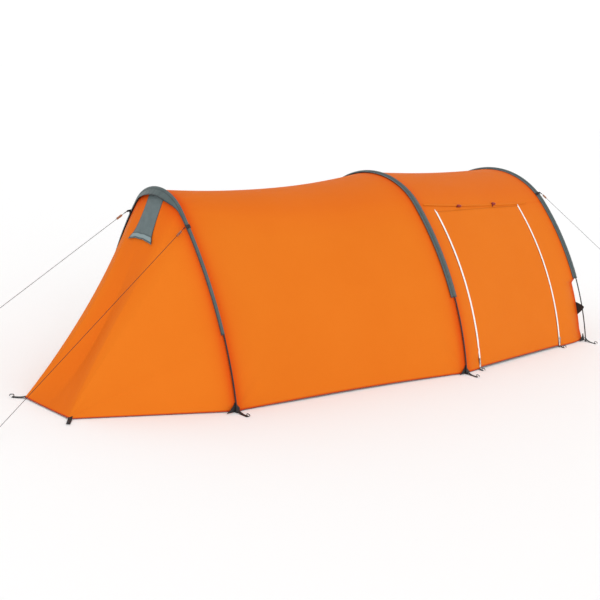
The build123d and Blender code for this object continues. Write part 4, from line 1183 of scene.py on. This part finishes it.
toggle_plastic = moulded_material("toggle_plastic", (0.26, 0.010, 0.008), 0.45)
toggle_elastic = moulded_material("toggle_elastic", (0.20, 0.010, 0.008), 0.85)
for number, x in enumerate(TOGGLE_X, 1):
    arch = short_arch(short_shares(x))
    seat, seat_out = (a[0] for a in hoop_points(arch, np.array([0.985]), SKIN, HEM))
    ahead = np.array([1.0, 0, 0])
    down = unit(np.cross(seat_out, ahead))
    down *= -np.sign(down[2])
    share = np.linspace(-1, 1, 25)
    girth = 0.0068 + 0.0016 * np.cos(share * np.pi / 2) - 0.0022 * near(share, 0, 0.12)
    girth = girth * np.sqrt(np.clip(1.02 - share**8, 0, 1))
    drop = min(TOGGLE_DROP, (SIDE_DOOR_TOP + TOGGLE_CLEAR - seat[2]) / down[2])
    centre = seat + down * drop + seat_out * 0.0085 + ahead * 0.010
    lie = unit(ahead + down * 0.18)
    path = centre + lie * share[:, None] * TOGGLE_HALF
    section = ring(1.0, 14)[None] * girth[:, None, None]
    bar = solid_along(f"door_toggle_{number}", path, seat_out, np.cross(lie, seat_out), section)
    settle(bar, toggle_plastic, "tent")
    knot = centre - lie * 0.012
    loop_corners = [
        seat - ahead * 0.008 - down * 0.004 - seat_out * 0.001,
        seat - ahead * 0.007 + down * 0.010 + seat_out * 0.006,
        knot - down * 0.012 + seat_out * 0.006,
        knot - down * 0.002 + seat_out * 0.004,
        knot + down * 0.005 + seat_out * 0.001,
    ]
    path = bezier(loop_corners, 33)
    loop_frame = tube_frame(path, (1, 0, 0.2))
    loop = solid_along(f"door_toggle_{number}_loop", path, *loop_frame, ring(0.0062, 12, 0.32))
    settle(loop, toggle_elastic, "tent")
    if number == 1:
        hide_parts("door_toggles")

# ----------------------------------------
# Front wall: flat orange cloth inside the front hoop, sewn to the canopy under the sleeve and cut
# away for a door between two straight zips. A folded strip sheds rain off the door's top seam.
# ----------------------------------------
FRONT_DOOR_HALF = 0.330
FRONT_DOOR_SILL = 0.040
FRONT_DOOR_TOP = 0.820
FRONT_FOLD_RISE = 0.0135
DOOR_GAP = 0.0006
FORWARD = np.array([1.0, 0, 0])


def wall_relief(y, z, seed):
    """The slow unevenness of an upright wall: a sum of a few crossed sines over its face."""
    dice = np.random.default_rng(seed)
    relief = 0 * y
    for _ in range(6):
        k_y, k_z = dice.uniform(2, 9, 2)
        phase = dice.uniform(0, FULL_TURN, 2)
        relief = relief + 0.0011 * np.sin(k_y * y + phase[0]) * np.sin(k_z * z + phase[1])
    return relief


def door_frame(u, half, top, floor):
    """The edge of a doorway as u goes from 0 to 3 round the wall: up from the floor on the near
    side, across the top and down on the far side."""
    climb = np.clip(np.minimum(u, 3 - u) / 1.0, 0, 1)
    y = np.where(climb < 1, np.where(u < 1.5, -half, half), -half + 2 * half * (u - 1))
    return y, np.where(climb < 1, floor + (top - floor) * climb, top)


def wall_points(outline, u, shares, x, half, top, floor, seed):
    """A wall with a doorway: straight lines from the outline to the doorway's edge, plus the
    wall's unevenness, which fades at both."""
    y_in, z_in = door_frame(u, half, top, floor)
    y = outline[None, :, 0] + (y_in - outline[:, 0]) * shares[:, None]
    z = outline[None, :, 1] + (z_in - outline[:, 1]) * shares[:, None]
    fade = np.sin(np.pi * shares)[:, None]
    return np.stack([x + wall_relief(y, z, seed) * fade, y, z], -1), np.stack([y, z], -1)


wall_u = canopy_rows(0, 3)
edge, _ = hoop_points(FRONT, wall_u, SKIN, HEM)
pull = corner_pull(edge[:, 2])
outline = np.stack([edge[:, 1] - np.sign(edge[:, 1]) * pull, edge[:, 2]], -1)
face = FRONT_X + 0.0016
wall_shares = np.linspace(0, 1, 25)
doorway = (FRONT_DOOR_HALF + ZIP_HALF, FRONT_DOOR_TOP)
points, uv = wall_points(outline, wall_u, wall_shares, face, *doorway, HEM, 31)
points[..., 0] -= 0.25 * (pull[None] * (1 - wall_shares[:, None]) ** 3)
# painted shade along the hem and beside the doorway's zips
by_edge = 0.8 * near(points[..., 2], HEM, 0.008) + 0.6 * near(np.abs(points[..., 1]), FRONT_DOOR_HALF, 0.012)
front_wall = sheet_mesh("front_wall_cloth", points, uv, shade=np.clip(by_edge, 0, 1), outward=FORWARD)
sill_y = np.linspace(-1, 1, 41) * (FRONT_DOOR_HALF + ZIP_HALF)
sill_y, sill_z = grid(sill_y, np.linspace(HEM, FRONT_DOOR_SILL, 5))
sill_points = np.stack([face + 0.0006 * np.sin(sill_y * 30), sill_y, sill_z], -1)
# painted shade along the hem
sill_shade = 0.8 * near(sill_z, HEM, 0.008)
front_sill = sheet_mesh(
    "front_sill_cloth", sill_points, sill_points[..., 1:], shade=sill_shade, outward=FORWARD
)
hems = [bind_edge("front_sill_hem", sill_points[:, 0], sill_points[:, 1], FORWARD, "tent")]
hems += side_hems("front", points, FORWARD)
finish_cloth(
    front_wall, canopy_cloth, "tent", "canopy", (1.86, 1.12), sheet_area(front_wall),
    ["front_pole_rods"], hems, ("front_wall_near", "front_wall_far", "front_wall_head"),
)
finish_cloth(
    front_sill, canopy_cloth, "tent", "canopy", cut_size(sill_points), None,
    ["front_wall_cloth"], replaced=("front_wall_sill",),
)

door_y, door_z = grid(
    np.linspace(-1, 1, 61) * (FRONT_DOOR_HALF - ZIP_HALF),
    np.linspace(FRONT_DOOR_SILL + DOOR_GAP, FRONT_DOOR_TOP - DOOR_GAP, 71),
)
door_fade = np.sin(np.pi * (door_y / FRONT_DOOR_HALF / 2 + 0.5))
door_points = np.stack([face + wall_relief(door_y, door_z, 37) * door_fade, door_y, door_z], -1)
# painted shade beside the zips and along the sill
by_zip = 0.7 * near(np.abs(door_y), FRONT_DOOR_HALF - ZIP_HALF, SEAM_FADE)
by_zip = by_zip + 0.8 * near(door_z, FRONT_DOOR_SILL, 0.008)
front_door = sheet_mesh(
    "front_door_cloth", door_points, door_points[..., 1:], shade=np.clip(by_zip, 0, 1), outward=FORWARD
)
hem_lift = np.array([0, 0, 0.002])
front_door_hem = bind_edge(
    "front_door_hem", door_points[:, 0] + hem_lift, door_points[:, 1] + hem_lift, FORWARD, "front_door"
)
fixed_halves = []
door_halves = []
zip_z = np.linspace(FRONT_DOOR_SILL + 0.001, FRONT_DOOR_TOP - 0.004, 121)
for zip_name, side in (("front_zip_near", -1.0), ("front_zip_far", 1.0)):
    path = np.stack([0 * zip_z + face + 0.0006, 0 * zip_z + side * FRONT_DOOR_HALF, zip_z], -1)
    outward_side = np.array([0, side, 0])
    fixed_halves += zip_half(zip_name + "_wall", path, outward_side, FORWARD, "tent")
    door_halves += zip_half(zip_name + "_door", path, -outward_side, FORWARD, "front_door")
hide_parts("front_zip_fixed_tapes")
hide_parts("front_zip_door_tapes")
finish_cloth(
    front_door, canopy_cloth, "front_door", "canopy", cut_size(door_points), None,
    ["front_wall_cloth"], [front_door_hem, *door_halves], ("front_door",), held="hung",
)
flap_y = np.linspace(-1, 1, 81) * (FRONT_DOOR_HALF + 0.03)
flap_x = 0 * flap_y + face + 0.0022 + 0.0008 * np.sin(flap_y * 25) ** 2
flap_path = np.stack([flap_x, flap_y, 0 * flap_y + FRONT_DOOR_TOP + FRONT_FOLD_RISE], -1)
flap_down, flap_out = unit(np.array([0.16, 0, -1.0])), unit(np.array([1.0, 0, 0.16]))
flap = solid_along("front_door_fold", flap_path, flap_down, flap_out, ring(0.0090, 12, FOLD_OVAL))
settle(flap, canopy_cloth, "tent")
for node in ("front_zip_slider_near", "front_zip_slider_far"):
    dress(node, zip_metal)

# ----------------------------------------
# Inner tent: a pale breathable cloth room hung inside the long bay from elastic loops, with a dark
# coated floor whose edges turn up, and a door of the same cloth toward the porch.
# ----------------------------------------
INNER_SKIN = 0.0625
INNER_SHARES = (0.08, 0.965)
FLOOR_THICK = 0.0025
# half width, sill and top
INNER_DOOR = (0.340, 0.090, 0.760)


def plain_cloth_material(name, low, high, cell):
    """Plain-woven cloth: a fine weave and a soft change of tone between two colours."""
    material, tree, shader = node_material(name, high, 0.7)
    paint(tree, shader, weave_bump(tree, shader, cell, 0.5, 6.0), low, high)
    shader.inputs["Sheen Weight"].default_value = 0.1
    return material


inner_cloth = plain_cloth_material("inner_cloth", (0.60, 0.57, 0.48), (0.70, 0.67, 0.58), 0.0009)
floor_cloth = plain_cloth_material("groundsheet", (0.035, 0.040, 0.050), (0.060, 0.066, 0.080), 0.0012)
HUNG = dict(held="hung", thickness=0.0008)
inner_t = np.linspace(*INNER_SHARES, 91)[:, None]
inner_arch = between_hoops(REAR, MIDDLE, inner_t, *LONG_SAG)
inner_progress = (inner_t - INNER_SHARES[0]) / (INNER_SHARES[1] - INNER_SHARES[0])
inner_arch["lean"] = REAR["lean"] * (1 - inner_progress)
inner_u = canopy_rows(0, 3)[None, ::2]
points, out = hoop_points(inner_arch, inner_u, INNER_SKIN, FLOOR_THICK + 0.0006)
swell = np.sin(np.pi * (inner_t - INNER_SHARES[0]) / (INNER_SHARES[1] - INNER_SHARES[0]))
run = length_along(points.transpose(1, 0, 2)).T
slack = 0.004 * np.sin(inner_t * 17) * np.sin(run * 5)
slack = slack - 0.006 * swell * np.sin(np.pi * np.clip(inner_u - 1, 0, 1))
points = points + out * (slack * swell)[..., None]
uv = np.stack([np.broadcast_to(inner_t * 1.7, run.shape), run], -1)
inner_walls = sheet_mesh("inner_tent_cloth", points, uv, outward=out)
finish_cloth(
    inner_walls, inner_cloth, "tent", "inner", cut_size(points), sheet_area(inner_walls),
    ["inner_hangers"], [], ("inner_near_wall", "inner_roof", "inner_far_wall"), **HUNG,
)

floor_a, floor_b = grid(np.linspace(0, 1, 61), np.linspace(0, 1, 41))
low_side, high_side = points[0, 0], points[-1, 0]
half_width = np.abs(low_side[1]) + (np.abs(high_side[1]) - np.abs(low_side[1])) * floor_a - 0.0015
floor_x = low_side[0] + (high_side[0] - low_side[0]) * floor_a
floor_z = 0.0018 + 0.0006 * np.sin(floor_x * 13) * np.sin(floor_b * 17)
floor_points = np.stack([floor_x, (2 * floor_b - 1) * half_width, floor_z], -1)
upward = np.array([0, 0, 1.0])
inner_floor = sheet_mesh("inner_floor_cloth", floor_points, floor_points[..., :2], outward=upward)
finish_cloth(
    inner_floor, floor_cloth, "tent", "floor", cut_size(floor_points), sheet_area(inner_floor),
    ["inner_tent_cloth"], [], ("inner_floor",), held="laid", thickness=0.0010,
)

rear_edge = points[0]
front_edge = points[-1]
share = np.linspace(0, 1, 25)[:, None, None]
rear_middle = np.stack([rear_edge[:, 0], 0 * rear_edge[:, 1], rear_edge[:, 2]], -1)
rear_points = rear_edge + (rear_middle - rear_edge) * share
rear_relief = wall_relief(rear_points[..., 1], rear_points[..., 2], 41)
rear_points[..., 0] -= 0.0007 + rear_relief * np.sin(np.pi * share[..., 0])
rear_wall = sheet_mesh("inner_rear_cloth", rear_points, rear_points[..., 1:], outward=-FORWARD)
finish_cloth(
    rear_wall, inner_cloth, "tent", "inner", (1.10, 1.04), sheet_area(rear_wall),
    ["inner_tent_cloth"], [], ("inner_rear_wall",), **HUNG,
)
inner_x = float(front_edge[:, 0].mean())
wall_shares = np.linspace(0, 1, 21)
doorway = (INNER_DOOR[0], INNER_DOOR[2])
points, uv = wall_points(
    front_edge[:, 1:], inner_u[0], wall_shares, inner_x + 0.0012, *doorway, FLOOR_THICK, 43
)
inner_front = sheet_mesh("inner_front_cloth", points, uv, outward=FORWARD)
sill_y, sill_z = grid(np.linspace(-1, 1, 31) * INNER_DOOR[0], np.linspace(FLOOR_THICK, INNER_DOOR[1], 7))
sill_points = np.stack([0 * sill_y + inner_x + 0.0012, sill_y, sill_z], -1)
inner_sill = sheet_mesh("inner_sill_cloth", sill_points, sill_points[..., 1:], outward=FORWARD)
finish_cloth(
    inner_front, inner_cloth, "tent", "inner", (1.60, 1.04), sheet_area(inner_front),
    ["inner_tent_cloth"], [], ("inner_front_wall",), **HUNG,
)
finish_cloth(
    inner_sill, floor_cloth, "tent", "floor", cut_size(sill_points), None, ["inner_floor_cloth"], **HUNG
)
door_y, door_z = grid(
    np.linspace(-1, 1, 51) * (INNER_DOOR[0] - DOOR_GAP),
    np.linspace(INNER_DOOR[1] + DOOR_GAP, INNER_DOOR[2] - DOOR_GAP, 51),
)
points = np.stack([inner_x + 0.0014 + 0 * door_y, door_y, door_z], -1)
inner_door = sheet_mesh("inner_door_cloth", points, points[..., 1:], outward=FORWARD)
finish_cloth(
    inner_door, inner_cloth, "inner_door", "inner", cut_size(points), None,
    ["inner_front_cloth"], [], ("inner_door",), **HUNG,
)
black_elastic = moulded_material("black_elastic", (0.020, 0.020, 0.022), 0.85)
hanger_low, hanger_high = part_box("inner_hangers")
for number, x in enumerate((hanger_low.x + 0.002, hanger_high.x - 0.002), 1):
    arch = between_hoops(REAR, MIDDLE, INNER_SHARES[number - 1], *LONG_SAG)
    top_z = arch["top"] - 0.0105
    line = np.stack([np.full(9, x), np.zeros(9), np.linspace(top_z - 0.052, top_z, 9)], -1)
    swell = 0.0016 + 0.0012 * (np.abs(np.linspace(-1, 1, 9)) ** 6)
    section = ring(1.0, 10)[None] * swell[:, None, None]
    hanger = solid_along(f"inner_hanger_{number}", line, FORWARD, np.array([0, 1.0, 0]), section)
    settle(hanger, black_elastic, "tent")
    if number == 1:
        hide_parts("inner_hangers")

# ----------------------------------------
# Feet: at each pole foot a black webbing gusset is sewn to the hem and holds a steel ring; a strap
# runs from the ring to a wire peg. The tail corners and the zip ends have a strap and peg too.
# ----------------------------------------
STRAP_WIDE = 0.020
STRAP_THICK = 0.0018
SHORT_STRAP_WIDE = 0.014
PATCH_THICK = 0.0016
# a strap's middle where it lies on the ground, and where it rises to its peg
STRAP_REST = np.array([0, 0, 0.0012])
STRAP_RISE = np.array([0, 0, 0.0030])
FOOT_REACH = 0.066
ZIP_REACH = 0.034
GUSSET_INSET = 0.0045


def webbing_material():
    """Black polypropylene webbing: ribs across the strap and a diagonal weave of finer threads."""
    material, tree, shader = node_material("black_webbing", (0.012, 0.012, 0.013), 0.62)
    threads = combine(tree, "MULTIPLY", rib(tree, 0.0015, "X"), rib(tree, 0.0022, "DIAGONAL"))
    paint(tree, shader, threads, (0.003, 0.003, 0.004), (0.018, 0.018, 0.020))
    raise_surface(tree, shader, threads, 0.7, 0.0004)
    return material


black_webbing = webbing_material()


def flat_band(width, thick, sides=20):
    """The section of a strap: an oval with nearly square corners, by fractional powers of the
    cosine and sine."""
    turn = np.linspace(0, 2 * np.pi, sides, endpoint=False)
    c, s = np.cos(turn), np.sin(turn)
    wide = width / 2 * np.sign(c) * np.abs(c) ** 0.3
    return np.stack([wide, thick / 2 * np.sign(s) * np.abs(s) ** 0.45], -1)


def strap_line(name, points, across, width=STRAP_WIDE, thick=STRAP_THICK, count=33):
    """A webbing strap of even width that follows the Bezier curve of a few points."""
    path = bezier(points, count)
    ahead = unit(np.gradient(path, axis=0))
    wide = unit(np.asarray(across, float) - (ahead @ np.asarray(across, float))[:, None] * ahead)
    strap = solid_along(name, path, wide, np.cross(ahead, wide), flat_band(width, thick))
    return settle(strap, black_webbing, "tent")


def foot_gusset(name, hoop, side, back, front, height):
    """A webbing triangle on the cloth behind a pole: its width runs from back behind the pole to
    front ahead of it at the hem, and narrows to nothing at height, with hollow edges."""
    rows, cols = grid(np.linspace(0, 1, 17), np.linspace(-1, 1, 25))
    reach = np.where(cols < 0, back, front) * (1 - rows) ** 1.6 + 0.006
    z = HEM + 0.001 + (height - 0.004) * rows
    start = side_angle(hoop, HEM, GUSSET_INSET)
    climb = (side_angle(hoop, z, GUSSET_INSET) - start) / (np.radians(hoop["shoulder"]) - start)
    points, out = hoop_points(hoop, climb if side < 0 else 3 - climb, GUSSET_INSET, HEM)
    points[..., 0] += cols * reach
    if hoop is FRONT:
        points[..., 1] -= side * 0.5 * corner_pull(z)
    patch = sheet_mesh(name, points, np.stack([cols * reach, z], -1), outward=out)
    give_thickness(patch, PATCH_THICK)
    return settle(patch, black_webbing, "tent")


for hoop_name, hoop in HOOPS:
    gusset_front = 0.008 if hoop is FRONT else 0.040
    for side_name, side, u in (("near", -1, 0.0), ("far", 1, 3.0)):
        foot = hoop_points(hoop, np.array([u]), 0.0, 0.002)[0][0]
        edge = np.array([foot[0], foot[1] + side * 0.0099, 0.0])
        name = f"{hoop_name}_{side_name}"
        outward_y = np.array([0, side, 0.0])
        low_foot = foot * [1, 1, 0]
        strap_corners = [
            low_foot - outward_y * 0.010 + [0, 0, 0.030],
            low_foot - outward_y * 0.002 + [0, 0, 0.016],
            edge + outward_y * 0.008 + STRAP_REST,
            edge + outward_y * 0.030 + STRAP_REST,
            edge + outward_y * FOOT_REACH + STRAP_RISE,
        ]
        strap = strap_line(name + "_foot_strap", strap_corners, (1, 0, 0))
        foot_gusset(name + "_foot_gusset", hoop, side, 0.062, gusset_front, 0.050)
        if name == "rear_near":
            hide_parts("foot_straps")
corner = np.array([TAIL_X + 0.01128, 0.0, 0.0])
strap_starts = []
for side_name, side in (("near", -1), ("far", 1)):
    ahead = unit(np.array([-1.0, side, 0]))
    start = corner + [0, side * 0.177, 0]
    strap_starts.append((f"tail_{side_name}_strap", start, ahead, FOOT_REACH, STRAP_WIDE))
for zip_name, x in (("rear", SIDE_ZIPS[0] - 0.014), ("front", SIDE_ZIPS[1] + 0.014)):
    arch = short_arch(short_shares(x))
    start = hoop_points(arch, np.array([0.0]), SKIN, HEM)[0][0] * [1, 1, 0] + [0, 0.006, 0]
    ahead = np.array([0, -1.0, 0])
    strap_starts.append((f"side_zip_{zip_name}_strap", start, ahead, ZIP_REACH, SHORT_STRAP_WIDE))
for name, start, ahead, length, width in strap_starts:
    strap_corners = [
        start - ahead * 0.012 + [0, 0, 0.016],
        start + [0, 0, 0.010],
        start + ahead * 0.012 + STRAP_REST,
        start + ahead * length + STRAP_RISE,
    ]
    strap = strap_line(name, strap_corners, np.cross(ahead, [0, 0, 1.0]), width)
    if name == "tail_near_strap":
        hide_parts("hem_straps")
peg_wire = metal_material("peg_wire", (0.075, 0.076, 0.080), 0.42, 140.0)
dress("foot_rings", metal_material("ring_wire", (0.16, 0.16, 0.17), 0.35, 140.0))
dress("ground_pegs", peg_wire)
dress("guy_pegs", peg_wire)

# ----------------------------------------
# Tabs and clips: a black webbing saddle over each sleeve takes a guy line on its tongue, and a
# moulded clip on a webbing triangle holds the canopy's front edge to the bare pole.
# ----------------------------------------
TAB_WIDE = 0.018
TAB_LONG = 0.026


def u_at_height(hoop, z):
    """The near side's u at which a hoop line passes height z, by interpolation along the line."""
    u = np.linspace(0, 1.5, 3001)
    return float(np.interp(z, hoop_points(hoop, u, 0.0, 0.0)[0][:, 2], u))


def hoop_frame(hoop, u):
    """A point of a hoop line with its outward direction, the direction along the tent square to
    the hoop's plane, and the direction along the hoop."""
    line, out = hoop_points(hoop, np.array([u - 0.001, u, u + 0.001]), 0.0, 0.0)
    lean = math.radians(hoop["lean"])
    return line[1], out[1], np.array([math.cos(lean), 0, math.sin(lean)]), unit(line[2] - line[0])


TAB_THICK = 0.0015
REAR_TAB_Z = 0.890
FRONT_TAB_Z = 0.972
TAB_SPOTS = (
    ("rear_near", REAR, u_at_height(REAR, REAR_TAB_Z), -1, REAR_SKIRT),
    ("rear_far", REAR, 3 - u_at_height(REAR, REAR_TAB_Z), -1, REAR_SKIRT),
    ("front_near", FRONT, u_at_height(FRONT, FRONT_TAB_Z), 1, SKIRT),
    ("front_far", FRONT, 3 - u_at_height(FRONT, FRONT_TAB_Z), 1, SKIRT),
)
TONGUE = ((0.0, 0.0088), (0.012, 0.0088), (0.021, 0.0086), (TAB_LONG, 0.0084))
for name, hoop, u, ahead, skirt in TAB_SPOTS:
    centre, out, along, tangent = hoop_frame(hoop, u)
    half = [(-skirt, -0.0040), (-0.0105, -0.0030), (-0.0065, 0.0062)]
    over = [*half, (0.0, 0.0076), *((-a, b) for a, b in half[::-1])]
    line = np.array([centre + along * a + out * b for a, b in over])
    path = resample(line, np.arange(len(over)), np.linspace(0, len(over) - 1, 49))
    path[1:-1] = (path[:-2] + 2 * path[1:-1] + path[2:]) / 4
    step = unit(np.gradient(path, axis=0))
    band = flat_band(TAB_WIDE, TAB_THICK)
    saddle = solid_along(name + "_tab", path, tangent, np.cross(step, tangent), band)
    line = np.array([centre + along * (ahead * a) + out * b for a, b in TONGUE])
    step = unit(np.gradient(line, axis=0))
    band = flat_band(TAB_WIDE * 0.8, TAB_THICK)
    tongue = solid_along(name + "_tongue", line, tangent, np.cross(step, tangent), band)
    for piece in (saddle, tongue):
        settle(piece, black_webbing, "tent")
    if name == "rear_near":
        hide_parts("guy_tabs")
black_plastic = moulded_material("black_plastic", (0.014, 0.014, 0.016), 0.45)
dress("pole_clips", black_plastic)
runner_plastic = moulded_material("runner_plastic", (0.50, 0.24, 0.13), 0.30)
runner_shader = runner_plastic.node_tree.nodes["Principled BSDF"]
runner_shader.inputs["Transmission Weight"].default_value = 0.85
for node in ("rear_near_runner", "rear_far_runner", "front_near_runner"):
    dress(node, runner_plastic)

CLIP_Z = 0.235
TRIANGLE_HALF = 0.044
for side_name, side in (("near", -1), ("far", 1)):
    u = u_at_height(FRONT, CLIP_Z)
    centre, out, along, tangent = hoop_frame(FRONT, u if side < 0 else 3 - u)
    rows, cols = grid(np.linspace(0, 1, 15), np.linspace(-1, 1, 17))
    inward = corner_pull(CLIP_Z) + SKIN + 0.003
    tall = TRIANGLE_HALF * (1 - rows) ** 0.8 + 0.004
    reach = -inward + rows * (inward + 0.016)
    back = 0.006 + 0.004 * (1 - rows)
    points = centre + tangent * (cols * tall)[..., None] + out * reach[..., None] - along * back[..., None]
    uv = np.stack([reach, cols * tall], -1)
    triangle = sheet_mesh(f"front_{side_name}_clip_tab", points, uv, outward=-along)
    give_thickness(triangle, PATCH_THICK)
    settle(triangle, black_webbing, "tent")
